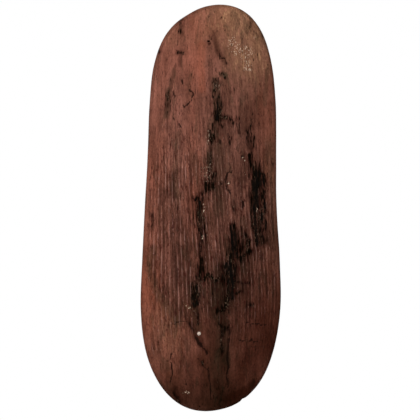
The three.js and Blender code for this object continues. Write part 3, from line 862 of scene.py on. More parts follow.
@dataclass(frozen=True)
class CarvedFace:
    """The fluted front of the board, placed by row (0 at the foot) and share across (0 at left)."""

    outline: Outline = Outline()
    back_plane: float = 10.5 * MM
    rim_thickness: float = 11 * MM
    dome: float = 49 * MM
    arch_power: float = 3.0
    arch_root: float = 0.8
    nose: float = 5.5 * MM  # radius that rounds the rim, front and back
    flutes: int = 35
    flute_depth: float = 1.3 * MM
    lean_degrees: float = 5.0
    lean_reach: float = 0.6  # share of half the height over which they lean
    top_share: float = 0.85  # share of half the height where they end at the top
    top_fade: float = 0.9  # and over which they run out
    foot_share: float = 0.84
    foot_fade: float = 0.45
    unevenness: float = 0.35  # how unevenly each is gouged along its length
    chatter: float = 0.12
    ridge_wear: float = 0.45
    gum_fill: float = 0.45  # share of a flute's depth that gum fills
    crack_depth: float = 0.9 * MM
    wander: float = 1.3 * MM
    swell: float = 0.6 * MM
    ragged_across: float = 1.6 * MM  # how far the edges of marks wander
    ragged_along: float = 4 * MM
    stray_across: float = 1.8 * MM  # how far gum strays from its line, groove by groove
    stray_along: float = 9 * MM
    view_distance: float = 3.0  # marks stand as they look from this far in front

    def swell_at(self, x: np.ndarray, z: np.ndarray) -> np.ndarray:
        """Returns how far the face swells in front of the rim."""
        left, right = self.outline.edges_at(z)
        half = np.maximum((right - left) / 2, 1e-6)
        across = np.minimum(1.0, np.abs(x - (left + right) / 2) / half)
        up = np.minimum(1.0, np.abs(z) / self.outline.half_height)
        return self.dome * (1 - across**2) * (1 - up**self.arch_power) ** self.arch_root

    def smooth_edge(self, u: np.ndarray) -> np.ndarray:
        """Returns the height share below which the lower left is worn smooth, at each x share."""
        across = (-1.0, -0.86, -0.63, -0.34, -0.08, 0.14, 0.26, 0.4)
        return np.interp(u, across, (-0.22, -0.33, -0.46, -0.51, -0.54, -0.56, -0.68, -0.85))

    def depth_share(self, x: np.ndarray, z: np.ndarray) -> np.ndarray:
        """Returns the share of the full flute depth left at each point."""
        u = x / self.outline.half_width
        v = z / self.outline.half_height
        patchy = Unevenness(seed=5).at(u * 4.0, v * 9.0, 2)
        end = np.where(v > 0, self.top_share, self.foot_share) + 0.08 * patchy
        fade = np.where(v > 0, self.top_fade, self.foot_fade)
        lower_left = smooth((-u - 0.15) / 0.2) * (v < 0)
        end = end + 0.16 * lower_left
        share = smooth((end - np.abs(v)) / fade)
        right, above = smooth((u - 0.2) / 0.5), smooth((v - 0.1) / 0.2)
        share *= 1 - 0.35 * right * above
        left_rim = smooth((-u - 0.78) / 0.15)
        share *= 1 - 0.45 * left_rim
        middle = np.exp(-(((u + 0.02) / 0.2) ** 2))
        worn = 0.34 + 0.56 * middle
        share *= 1 - worn * smooth((self.smooth_edge(u) - v) / 0.06)
        share *= 0.85 + 0.3 * patchy
        return np.clip(share, 0.0, 1.0)

    def place(self, row: np.ndarray, across: np.ndarray) -> tuple[np.ndarray, dict[str, np.ndarray]]:
        """Places points on the carved face.

        Args:
            row: Row of each point, which may lie between rows.
            across: Share of the way from the left edge to the right.

        Returns:
            The points, and what is painted at each.
        """
        x, z = self.spot(row, across)
        share = self.depth_share(x, z)
        phase = across * self.flutes
        groove = np.floor(phase)
        to_ridge = np.abs(phase - np.round(phase))
        marks = Unevenness(seed=31)
        scoop = np.sqrt(np.sin(math.pi * to_ridge) ** 2 + 0.01) - 0.1
        gouge = marks.at(groove * 3.7, z / (34 * MM), 2)
        chatter = marks.at(groove * 5.1 + 40.0, z / (8 * MM))
        ridge_wear = smooth(0.5 + 0.9 * marks.at(np.round(phase) * 4.3 + 90.0, z / (24 * MM), 2))
        cut = share * scoop * (0.9 + self.unevenness * gouge + self.chatter * chatter)
        cut += share * self.ridge_wear * ridge_wear * np.clip(1 - 4 * to_ridge, 0.0, 1.0)
        paint = self.wear_at(x, z, groove)
        gum = smooth((paint[Wear.GUM.value] - 0.3) / 0.4)
        crack = paint[Wear.CRACK.value]
        level = self.back_plane - self.rim_thickness - self.swell_at(x, z)
        uneven = 0.5 + 0.5 * Unevenness(seed=7).at(x / (38 * MM), z / (95 * MM), 3)
        y = level + self.flute_depth * np.clip(cut, 0.0, 1.4) * (1 - self.gum_fill * gum)
        y += self.swell * uneven + self.crack_depth * crack
        grime = smooth(0.55 + 0.8 * marks.at(groove * 2.9 + 150.0, z / (46 * MM), 2))
        dashes = marks.at(np.round(phase) * 6.1 + 200.0, z / (26 * MM), 3)
        u, v = x / self.outline.half_width, z / self.outline.half_height
        bright_patch = np.exp(-(((u + 0.4) / 0.4) ** 2) - ((v + 0.32) / 0.3) ** 2)
        dashes = dashes + 0.35 * bright_patch
        crest = np.exp(-((to_ridge / 0.15) ** 2))
        paint[Wear.FLUTED.value] = share
        paint[Wear.VALLEY.value] = share * np.clip(1 - crest, 0.0, 1.0) * (0.3 + 0.7 * grime)
        paint[Wear.RIDGE.value] = share * crest * smooth(0.45 + 1.1 * dashes)
        paint[Wear.CREST.value] = share * crest
        # Painted shade with some grime, darkening the face close to its edge
        paint[Wear.RIM_SHADE_AND_GRIME.value] = smooth(1 - np.minimum(across, 1 - across) / 0.012) * 0.25
        paint[Wear.BACK.value] = np.zeros_like(x)
        paint[LAY] = np.column_stack([x + self.lean_at(x, z), y, z])
        return np.column_stack([x, y, z]), paint

    def lean_at(self, x: np.ndarray, z: np.ndarray) -> np.ndarray:
        """Returns how far the flutes have leant to the left at each point of a full-width row."""
        up = z / self.outline.half_height
        climb = self.lean_reach * np.tanh(up / self.lean_reach) * self.outline.half_height
        inner = 1 - np.minimum(np.abs(x) / self.outline.half_width, 1.0) ** 2
        return math.tan(math.radians(self.lean_degrees)) * climb * inner

    def spot(
        self, row: np.ndarray, across: np.ndarray, leaning: bool = True
    ) -> tuple[np.ndarray, np.ndarray]:
        """Returns x and z of a row and share across, on columns that lean and wander or don't."""
        rows = self.outline.rows
        ring_x, ring_z = self.outline.ring(self.nose)
        steps = np.arange(rows + 1)
        right_x, right_z = ring_x[: rows + 1], ring_z[: rows + 1]
        left_x = np.append(ring_x[rows:], ring_x[0])[::-1]
        left_z = np.append(ring_z[rows:], ring_z[0])[::-1]
        ends = [np.interp(row, steps, side) for side in (left_x, right_x, left_z, right_z)]
        straight = ends[0] * (1 - across) + ends[1] * across
        z = ends[2] * (1 - across) + ends[3] * across
        if not leaning:
            return straight, z
        breadth = (ends[1] - ends[0]) / (2 * self.outline.half_width)
        drift = self.wander * Unevenness(seed=3).at(across * 7.0, z / (70 * MM), 2)
        level_x = (2 * across - 1) * self.outline.half_width
        inner = 1 - (2 * across - 1) ** 2
        return straight + (drift * inner - self.lean_at(level_x, z)) * breadth, z

    def across_at(self, row: float, x: float) -> float:
        """Returns the share across at which a row passes x."""
        shares = np.linspace(0.0, 1.0, 401)
        return float(np.interp(x, self.spot(np.full(401, row), shares)[0], shares))

    def row_at(self, z: float) -> float:
        """Returns the row at a height."""
        heights = -self.outline.half_height * np.cos(self.outline.row_turns())
        return float(np.interp(z, heights, np.arange(self.outline.rows + 1)))

    def wear_at(self, x: np.ndarray, z: np.ndarray, groove: np.ndarray) -> dict[str, np.ndarray]:
        """Returns each kind of mark and zone, with ragged edges and gum that runs along grooves."""
        ragged = Unevenness(seed=41)
        nearer = 1 + self.swell_at(x, z) / self.view_distance
        seen_x, seen_z = x * nearer, z * nearer
        warped_x = seen_x + self.ragged_across * ragged.at(x / (5 * MM), z / (11 * MM), 3)
        warped_z = seen_z + self.ragged_along * ragged.at(x / (4 * MM) + 60.0, z / (16 * MM), 3)
        stray_x = self.stray_across * ragged.at(groove * 3.1 + 70.0, z / (17 * MM), 2)
        stray_z = self.stray_along * ragged.at(groove * 7.7 + 30.0, z / (60 * MM))
        cover = {wear: np.zeros_like(x) for wear in Wear}
        for mark in MARKS:
            if mark.wear is Wear.GUM:
                strayed = min(1.0, mark.half_width / (5 * MM))
                held = min(1.0, mark.half_width / (3.4 * MM))
                place = (
                    seen_x + (warped_x - seen_x) * held + stray_x * strayed,
                    seen_z + (warped_z - seen_z) * held + stray_z * strayed,
                )
                gloom = mark.gloom * mark.halo(*place, self.outline)
                cover[Wear.DIRT_AND_SHADE] = np.maximum(cover[Wear.DIRT_AND_SHADE], gloom)
                here = mark.cover(*place, self.outline)
            else:
                here = mark.cover(warped_x, warped_z, self.outline)
            cover[mark.wear] = np.maximum(cover[mark.wear], here)
        cloud = 0.75 + 0.5 * ragged.at(x / (30 * MM) + 9.0, z / (60 * MM), 3)
        for zone in ZONES:
            here = zone.cover(warped_x, warped_z, self.outline) * cloud
            cover[zone.wear] = 1 - (1 - cover[zone.wear]) * (1 - np.clip(here, 0.0, 1.0))
        return {wear.value: value for wear, value in cover.items()}


# Shader recipes

Colour = Union[bpy.types.NodeSocket, str]  # a link, or six hex digits
Scale = tuple[float, float, float]  # features to a metre along each axis


def linear(code: str) -> tuple[float, float, float, float]:
    """Returns a colour written as six hex digits in the light values that shaders use."""
    channels = []
    for start in (1, 3, 5):
        channel = int(code[start : start + 2], 16) / 255
        bright = ((channel + 0.055) / 1.055) ** 2.4
        channels.append(channel / 12.92 if channel <= 0.04045 else bright)
    return (*channels, 1.0)


class Value:
    """One shader number: a socket with arithmetic that adds Math nodes."""

    def __init__(self, recipe: Recipe, socket: bpy.types.NodeSocket) -> None:
        """Wraps a socket of a recipe."""
        self.recipe = recipe
        self.socket = socket

    def _math(self, operation: str, first: Value | float, second: Value | float) -> Value:
        """Adds one Math node and returns its result."""
        node = self.recipe.node("ShaderNodeMath", {"operation": operation}, {0: first, 1: second})
        return Value(self.recipe, node.outputs[0])

    def __add__(self, other: Value | float) -> Value:
        """Adds."""
        return self._math("ADD", self, other)

    def __radd__(self, other: float) -> Value:
        """Adds to a number."""
        return self._math("ADD", other, self)

    def __sub__(self, other: Value | float) -> Value:
        """Subtracts."""
        return self._math("SUBTRACT", self, other)

    def __rsub__(self, other: float) -> Value:
        """Subtracts from a number."""
        return self._math("SUBTRACT", other, self)

    def __mul__(self, other: Value | float) -> Value:
        """Multiplies."""
        return self._math("MULTIPLY", self, other)

    def __rmul__(self, other: float) -> Value:
        """Multiplies a number."""
        return self._math("MULTIPLY", other, self)

    def at_least(self, other: Value | float) -> Value:
        """Returns the larger."""
        return self._math("MAXIMUM", self, other)

    def step(self, low: float, high: float) -> Value:
        """Returns an S-curve from 0 at low to 1 at high."""
        sockets = {"Value": self, "From Min": low, "From Max": high}
        node = self.recipe.node("ShaderNodeMapRange", {"interpolation_type": "SMOOTHSTEP"}, sockets)
        return Value(self.recipe, node.outputs[0])


class Recipe:
    """The nodes of one finish and its colour so far, or the nodes of the surroundings."""

    def __init__(self, block: bpy.types.Material | bpy.types.World) -> None:
        """Starts with no nodes."""
        block.use_nodes = True
        self.block = block
        self.tree = block.node_tree
        self.tree.nodes.clear()
        self.place: bpy.types.NodeSocket | None = None
        self.colour: Colour = WHITE

    @classmethod
    def named(cls, name: str, lay: str = "") -> Recipe:
        """Starts a new material.

        Args:
            name: The material's name.
            lay: Mesh attribute that its noise follows, or nothing for the place on the object.

        Returns:
            The recipe.
        """
        recipe = cls(bpy.data.materials.new(name))
        if lay:
            recipe.place = recipe.node("ShaderNodeAttribute", {"attribute_name": lay}).outputs["Vector"]
        else:
            recipe.place = recipe.node("ShaderNodeTexCoord").outputs["Object"]
        return recipe

    def node(
        self,
        kind: str,
        settings: Mapping[str, object] | None = None,
        sockets: Mapping[str | int, object] | None = None,
    ) -> bpy.types.Node:
        """Adds a node.

        Args:
            kind: The node's type.
            settings: What is set on the node first.
            sockets: Numbers, colours or links of its inputs, by name or number.

        Returns:
            The node.
        """
        node = self.tree.nodes.new(kind)
        for key, value in (settings or {}).items():
            setattr(node, key, value)
        for key, value in (sockets or {}).items():
            if isinstance(value, Value):
                value = value.socket
            elif isinstance(value, str):
                value = linear(value)
            if isinstance(value, bpy.types.NodeSocket):
                self.tree.links.new(value, node.inputs[key])
            else:
                node.inputs[key].default_value = value
        return node

    def painted(self, key: str) -> Value:
        """Returns a number painted on the mesh."""
        return Value(self, self.node("ShaderNodeAttribute", {"attribute_name": key}).outputs["Fac"])

    def coordinate(self, axis: int) -> Value:
        """Returns x, y or z of the place, in metres."""
        return Value(self, self.node("ShaderNodeSeparateXYZ", {}, {0: self.place}).outputs[axis])

    def scaled(self, scale: Scale) -> bpy.types.NodeSocket:
        """Returns the place scaled along each axis."""
        sockets = {0: self.place, 1: scale}
        return self.node("ShaderNodeVectorMath", {"operation": "MULTIPLY"}, sockets).outputs[0]

    def noise(self, scale: Scale, detail: float = 2.0, distortion: float = 0.0) -> Value:
        """Returns smooth noise.

        Args:
            scale: Its features to a metre.
            detail: Extra finer layers.
            distortion: How far it curls.

        Returns:
            Values round 0.5.
        """
        sockets = {"Vector": self.scaled(scale), "Scale": 1.0}
        sockets |= {"Detail": detail, "Distortion": distortion}
        return Value(self, self.node("ShaderNodeTexNoise", {}, sockets).outputs[0])

    def cracks(self, scale: Scale) -> Value:
        """Returns the distance from the cracks between scattered cells."""
        sockets = {"Vector": self.scaled(scale), "Scale": 1.0}
        node = self.node("ShaderNodeTexVoronoi", {"feature": "DISTANCE_TO_EDGE"}, sockets)
        return Value(self, node.outputs["Distance"])

    def _mix(
        self, share: Value | float, first: Colour, second: Colour | Value, **settings: object
    ) -> bpy.types.NodeSocket:
        """Returns a mixture of two colours."""
        sockets = {0: share, 6: first, 7: second}
        return self.node("ShaderNodeMix", {"data_type": "RGBA", **settings}, sockets).outputs[2]

    def start(self, share: Value, first: Colour, second: Colour) -> None:
        """Starts the colour with a mixture of two."""
        self.colour = self._mix(share, first, second)

    def cover(self, share: Value, colour: Colour) -> None:
        """Covers a share of the colour so far with another."""
        self.colour = self._mix(share, self.colour, colour)

    def tint(self, share: Value, tint: Colour) -> None:
        """Multiplies the colour so far by a tint, by a share."""
        self.colour = self._mix(share, self.colour, tint, blend_type="MULTIPLY")

    def shade(self, light: Value) -> None:
        """Makes the colour so far lighter or darker."""
        self.colour = self._mix(1.0, self.colour, light, blend_type="MULTIPLY", clamp_factor=False)

    def bump(self, height: Value, strength: float, distance: float) -> bpy.types.NodeSocket:
        """Returns the normal over a height, whose full range stands a distance proud."""
        sockets = {"Height": height, "Strength": strength, "Distance": distance}
        return self.node("ShaderNodeBump", {}, sockets).outputs[0]

    def finish(self, sockets: Mapping[str | int, object]) -> bpy.types.Material:
        """Ends the recipe in one surface shader of its colour, and returns the material."""
        surface = self.node("ShaderNodeBsdfPrincipled", {}, {"Base Color": self.colour, **sockets})
        self.node("ShaderNodeOutputMaterial", {}, {"Surface": surface.outputs[0]})
        return self.block


# Finishes


@dataclass(frozen=True)
class OchredWood:
    """Soft wood rubbed with red ochre, dark in the flutes and rubbed pale on the ridges."""

    ground: str = "#57362b"
    light: str = "#744a3e"
    red: str = "#884834"
    rose: str = "#925d4f"
    tan: str = "#9a7053"
    olive: str = "#3d3224"
    valley: str = "#1d0f0a"
    ridge: str = "#b1857a"
    fleck: str = "#34130f"
    deep: str = "#2c1912"
    dusk: str = "#5a473b"
    speck: str = "#dec3a9"
    chalk: str = "#77614f"
    gum: str = "#060401"
    crack: str = "#130a07"
    bare: str = "#6d4631"
    earth: str = "#6b382a"
    rubbed: str = "#946b4c"

    def material(self) -> bpy.types.Material:
        """Returns the finish of the board."""
        recipe = Recipe.named("ochred_wood", LAY)
        wear = {kind: recipe.painted(kind.value) for kind in Wear}
        streak, fibre = self._ground(recipe)
        self._patches(recipe, wear)
        fine = recipe.noise((900, 200, 80))
        grain = (fine - 0.5) * (0.2 + 0.6 * wear[Wear.FLUTED])
        broad = (streak - 0.5) * (0.4 + 0.45 * wear[Wear.FLUTED])
        crusty = (recipe.noise((400, 400, 240), detail=3) - 0.5) * (1.0 + 0.4 * wear[Wear.FLUTED])
        recipe.shade((1 + broad) * (1 + grain + crusty))
        ridge = self._flutes(recipe, wear, fine)
        front = recipe.colour
        self._back(recipe, wear, streak, fine)
        recipe.start(wear[Wear.BACK], front, recipe.colour)
        gum, crack = self._stains(recipe, wear)
        height = fibre * 0.45 + fine * 0.45 - crack * 0.8 + gum * 0.3
        return recipe.finish(
            {
                "Roughness": 0.6 + 0.25 * streak - ridge * 0.08 - gum * 0.15,
                "Normal": recipe.bump(height, 0.6, 0.6 * MM),
                "Specular IOR Level": 0.0,
            }
        )

    def _ground(self, recipe: Recipe) -> tuple[Value, Value]:
        """Starts with the ground colour, and returns the wood's broad streaks and fine fibre."""
        streak = recipe.noise((230, 60, 16), detail=4)
        fibre = recipe.noise((1500, 500, 60))
        cloud = recipe.noise((34, 34, 14), detail=4, distortion=0.4)
        recipe.start((cloud * 0.6 + streak * 0.4).step(0.4, 0.6), self.ground, self.light)
        recipe.shade(0.75 + 0.5 * fibre)
        return streak, fibre

    def _patches(self, recipe: Recipe, wear: Mapping[Wear, Value]) -> None:
        """Lays on patches of rose, ochre, tan and olive, then darkens dirty parts and paints shade over
        the foot and the lower right.
        """
        rosy = recipe.noise((66, 40, 26), detail=3, distortion=0.5).step(0.5, 0.62)
        green = recipe.noise((78, 40, 17), detail=4, distortion=0.7).step(0.53, 0.68)
        recipe.cover(rosy * 0.25 + wear[Wear.ROSE] * 0.65, self.rose)
        recipe.cover(wear[Wear.OCHRE] * 0.75, self.red)
        dash = recipe.noise((520, 300, 46)).step(0.54, 0.66)
        recipe.cover(wear[Wear.TAN] * (0.56 + 0.9 * dash), self.tan)
        recipe.cover(green * 0.38 + wear[Wear.OLIVE] * 0.66, self.olive)
        deep = recipe.noise((52, 30, 12), detail=4, distortion=0.6).step(0.5, 0.66)
        recipe.cover(deep * (0.24 + 0.2 * wear[Wear.FLUTED]), self.deep)
        # Dirt and painted shade, as a warm dark tint
        recipe.tint(wear[Wear.DIRT_AND_SHADE], self.dusk)

    def _flutes(self, recipe: Recipe, wear: Mapping[Wear, Value], fine: Value) -> Value:
        """Darkens the grooves and rubs the ridges pale, and returns where the ridges are."""
        dirt = recipe.noise((620, 200, 62), detail=3).step(0.5, 0.64)
        recipe.cover(dirt * (0.08 + 0.57 * wear[Wear.FLUTED]), self.valley)
        valley = (wear[Wear.VALLEY] * (0.5 + 0.8 * fine)).step(0.1, 0.9)
        recipe.cover(valley * 0.55, self.valley)
        rubbed = recipe.noise((300, 100, 42), detail=4).step(0.42, 0.62)
        ridge = (wear[Wear.RIDGE] * (0.35 + 0.85 * rubbed)).step(0.1, 0.95)
        recipe.cover(ridge * (1 - wear[Wear.DIRT_AND_SHADE] * 0.7) * 0.4, self.ridge)
        spark = recipe.noise((430, 430, 190)).step(0.6, 0.68) * wear[Wear.CREST]
        spark = spark * (1 - wear[Wear.DIRT_AND_SHADE] * 0.8)
        recipe.cover(spark * 0.45, self.ridge)
        return ridge

    def _back(
        self, recipe: Recipe, wear: Mapping[Wear, Value], streak: Value, fine: Value
    ) -> None:
        """Starts anew with the back: ochre and painted shade in the scoops, and wood rubbed bare and
        painted lighter between them, to bring out the adze facets.
        """
        worn = recipe.noise((30, 30, 12), detail=4, distortion=0.3)
        pores = recipe.noise((1100, 1100, 90)).step(0.58, 0.7)
        # Ochre-red in worn patches and, as painted shade, a little more in the scoops
        recipe.start((worn + wear[Wear.VALLEY] * 0.12).step(0.4, 0.66), self.bare, self.earth)
        recipe.cover(worn.step(0.52, 0.7) * 0.5, self.ground)
        # Ridges between the scoops: rubbed wood, and a painted highlight that brings out the facets
        shown = (wear[Wear.RIDGE] * (0.4 + streak)).step(0.25, 0.95)
        recipe.cover(shown * 0.26, self.rubbed)
        recipe.cover(pores * 0.35, self.valley)
        recipe.cover(wear[Wear.TAN] * 0.5, self.rubbed)
        recipe.tint(wear[Wear.DIRT_AND_SHADE], self.dusk)
        recipe.shade((0.5 + streak) * (0.78 + 0.44 * fine))

    def _stains(self, recipe: Recipe, wear: Mapping[Wear, Value]) -> tuple[Value, Value]:
        """Adds flecks, gum, scuffs, cracks and a dark rim of grime and painted shade, and returns the
        gum and the cracks.
        """
        ragged = recipe.noise((560, 250, 95), detail=4) - 0.5
        strand = recipe.noise((430, 200, 30), detail=3) - 0.5
        haze = (wear[Wear.GUM] + ragged * 0.8).step(0.0, 0.6)
        fleck = recipe.noise((300, 200, 100), detail=3, distortion=0.6)
        fleck = (fleck + haze * 0.06).step(0.57, 0.66)
        recipe.cover(fleck * (0.25 + 0.55 * wear[Wear.FLUTED]), self.fleck)
        recipe.shade(1 - haze * 0.55)
        gum = (wear[Wear.GUM] + ragged * 2.1 + strand * 1.9 - wear[Wear.CREST] * 0.42).step(0.38, 0.64)
        recipe.cover(gum * 0.95, self.gum)
        grit = recipe.noise((760, 760, 270), detail=1).step(0.58, 0.66)
        dusty = recipe.noise((60, 60, 30)).step(0.48, 0.64)
        recipe.cover(grit * haze * dusty * 0.45, self.chalk)
        scuff = (wear[Wear.SCUFF] * (0.45 + 1.3 * grit)).step(0.3, 0.7)
        recipe.cover(scuff * 0.7, self.speck)
        pits = recipe.noise((430, 430, 260), detail=1).step(0.72, 0.78)
        recipe.cover(pits * 0.8, self.crack)
        crack = (wear[Wear.CRACK] + ragged * 0.8).step(0.3, 0.7)
        recipe.cover(crack * 0.85, self.crack)
        # Dark rim: painted shade where the edge turns away, with some grime
        recipe.cover(wear[Wear.RIM_SHADE_AND_GRIME] * 0.7, self.valley)
        return gum, crack


@dataclass(frozen=True)
class GripWood:
    """Hard wood, dark and polished where the fist closes round it."""

    dark: str = "#3a1d11"
    light: str = "#7c4a2b"
    pore: str = "#1c0d07"
    end: str = "#8f6844"
    polish_reach: float = 62 * MM

    def material(self) -> bpy.types.Material:
        """Returns the finish of the grip and its pegs."""
        recipe = Recipe.named("grip_wood")
        figure = recipe.noise((90, 90, 9), detail=4, distortion=0.8)
        fibre = recipe.noise((1400, 1400, 50))
        pores = recipe.noise((900, 900, 90), detail=1).step(0.64, 0.72)
        height = recipe.coordinate(2)
        held = 1 - (height * height * (1 / self.polish_reach**2)).step(0.35, 1.6)
        recipe.start(figure.step(0.32, 0.68), self.dark, self.light)
        recipe.shade((0.75 + 0.5 * fibre) * (1 - held * 0.25))
        recipe.cover(pores * 0.7, self.pore)
        head = recipe.painted(END_GRAIN)
        recipe.cover(head.step(0.2, 0.45) * 0.9, self.pore)
        recipe.cover(head.step(0.6, 0.9) * (0.3 + 0.8 * fibre), self.end)
        return recipe.finish(
            {
                "Roughness": 0.58 - held * 0.26 + pores * 0.1,
                "Normal": recipe.bump(fibre * 0.6 - pores, 0.4, 0.3 * MM),
                "Specular IOR Level": 0.03,
            }
        )


@dataclass(frozen=True)
class Gum:
    """Black-brown plant gum, melted on and crazed, with ochre dust in its dull places."""

    body: str = "#090604"
    warm: str = "#1a100a"
    handled: str = "#2c1a10"
    dust: str = "#4a2c21"

    def material(self) -> bpy.types.Material:
        """Returns the finish of every gum piece."""
        recipe = Recipe.named("gum")
        cloud = recipe.noise((140, 140, 60), detail=4, distortion=0.5)
        grain = recipe.noise((900, 900, 170), detail=3)
        crazing = 1 - recipe.cracks((210, 210, 120)).step(0.0, 0.07)
        dust = (cloud * 0.5 + grain * 0.7).step(0.64, 0.8)
        recipe.start(cloud.step(0.4, 0.65), self.body, self.warm)
        recipe.cover(dust * 0.75, self.dust)
        recipe.shade(1 - crazing * 0.5)
        handled = recipe.coordinate(1).step(-4 * MM, 2 * MM)
        recipe.cover(handled * (0.25 + 0.5 * cloud), self.handled)
        return recipe.finish(
            {
                "Roughness": 0.46 + 0.25 * dust + 0.2 * grain,
                "Coat Weight": handled * (0.04 - 0.03 * dust),
                "Coat Roughness": 0.25,
                "Normal": recipe.bump(cloud * 0.6 + grain * 0.4 - crazing * 0.5, 0.5, 0.5 * MM),
                "Specular IOR Level": 0.015,
            }
        )


@dataclass(frozen=True)
class PaleWood:
    """Pale wood cut across the grain, dirty round its edge."""

    centre: tuple[float, float]
    clean: str = "#d6c4b4"
    dull: str = "#9a8478"
    dirt: str = "#4a352b"

    def material(self) -> bpy.types.Material:
        """Returns the finish of the plug."""
        recipe = Recipe.named("pale_wood")
        x = recipe.coordinate(0) - self.centre[0]
        z = recipe.coordinate(2) - self.centre[1]
        off = (x * x + z * z) * (1 / PLUG_RADIUS**2)
        mottle = recipe.noise((420, 420, 420), detail=3)
        recipe.start(mottle.step(0.35, 0.65), self.dull, self.clean)
        recipe.cover((off + mottle * 0.8 - 0.4).step(0.35, 1.1) * 0.85, self.dirt)
        return recipe.finish(
            {
                "Roughness": 0.72 + 0.15 * mottle,
                "Normal": recipe.bump(mottle, 0.4, 0.4 * MM),
            }
        )


@dataclass(frozen=True)
class StudioFloor:
    """Pale floor that fades into the white beyond it, and keeps the shield's shadow."""

    colour: str = "#f4f3f1"
    clear: float = 0.7
    faded: float = 1.7

    def material(self) -> bpy.types.Material:
        """Returns the floor's finish."""
        recipe = Recipe.named("studio_floor")
        x = recipe.coordinate(0)
        y = recipe.coordinate(1)
        off = (x * x + y * y).step(self.clear**2, self.faded**2)
        grain = recipe.noise((60, 60, 60))
        recipe.colour = self.colour
        recipe.shade(0.97 + 0.06 * grain)
        floor = recipe.node("ShaderNodeBsdfDiffuse", {}, {"Color": recipe.colour})
        white = recipe.node("ShaderNodeEmission", {}, {"Color": WHITE, "Strength": 1.0})
        sockets = {0: off, 1: floor.outputs[0], 2: white.outputs[0]}
        mixed = recipe.node("ShaderNodeMixShader", {}, sockets)
        recipe.node("ShaderNodeOutputMaterial", {}, {"Surface": mixed.outputs[0]})
        return recipe.block


@dataclass
class Finishes:
    """Every finish of the shield, by the slot it stands in."""

    made: dict[Slot, bpy.types.Material] = field(default_factory=dict)

    def prepare(self) -> None:
        """Makes the finishes."""
        self.made = {
            Slot.OCHRED_WOOD: OchredWood().material(),
            Slot.GRIP_WOOD: GripWood().material(),
            Slot.GUM: Gum().material(),
            Slot.PALE_WOOD: PaleWood(Site.of("pale_plug").centre).material(),
        }

    def dress(self, piece: bpy.types.Object, slot: Slot, node: str) -> None:
        """Gives a piece its finish, and lets it stand for a solid."""
        piece.data.materials.clear()
        piece.data.materials.append(self.made[slot])
        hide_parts(node)
        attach(piece, "root")
        log.info("%s stands for %s in %s", piece.name, node, slot.value)


# Sub-assemblies


@dataclass
class GripForm:
    """The grip's outline from behind: a waist between two feet with round corners."""

    width: float = 25 * MM
    thickness: float = 19 * MM
    rise: float = 4 * MM
    foot_width: float = 42 * MM
    foot_length: float = 38 * MM
    foot_depth: float = 14 * MM
    foot_corner: float = 12 * MM
    foot_squareness: float = 0.3
    swell: float = 22 * MM
    hollow_height: float = 164 * MM

    @property
    def half_length(self) -> float:
        """Half the grip's length, to the ends of its feet."""
        return self.hollow_height / 2 + self.foot_length

    @property
    def back(self) -> float:
        """Level of the back of the waist."""
        return self.thickness / 2

    @property
    def foot_back(self) -> float:
        """Level of the back of the feet, flush with the dished back."""
        return self.back - self.rise

    @property
    def flare_start(self) -> float:
        """Height where the waist starts to widen."""
        return self.hollow_height / 2 - self.swell

    def stations(self, grow: float, waist: int, flare: int, corner: int) -> np.ndarray:
        """Lists heights and half widths up the grip.

        Args:
            grow: How far the outline is grown all round.
            waist: Steps in half the waist.
            flare: Steps in the flare.
            corner: Steps round a corner of the foot.

        Returns:
            Rows of height and half width, from the lower end to the upper.
        """
        corner_start = self.half_length - self.foot_corner
        heights = list(np.linspace(0.0, self.flare_start, waist, endpoint=False))
        halves = [self.width / 2 + grow] * waist
        share = np.linspace(0.0, 1.0, flare + 1)
        heights += list(self.flare_start + (corner_start - self.flare_start) * share)
        halves += list((self.width + (self.foot_width - self.width) * smooth(share)) / 2 + grow)
        radius = self.foot_corner + grow
        turns = np.linspace(0.0, math.pi / 2, corner + 1)[1:]
        heights += list(corner_start + radius * np.sin(turns))
        halves += list(self.foot_width / 2 - self.foot_corner + radius * np.cos(turns))
        upper = np.column_stack([heights, halves])
        lower = upper[1:][::-1] * (-1.0, 1.0)
        return np.vstack([lower, upper])

    def prism(self, name: str, grow: float, front: float, back: float) -> bpy.types.Object:
        """Makes a cutter of the grown outline between two levels."""
        stations = self.stations(grow, 6, 16, 8)
        round_x = np.concatenate([stations[:, 1], -stations[::-1, 1]])
        round_z = np.concatenate([stations[:, 0], stations[::-1, 0]])
        rings = [np.column_stack([round_x, np.full_like(round_x, y), round_z]) for y in (back, front)]
        return loft(name, rings)


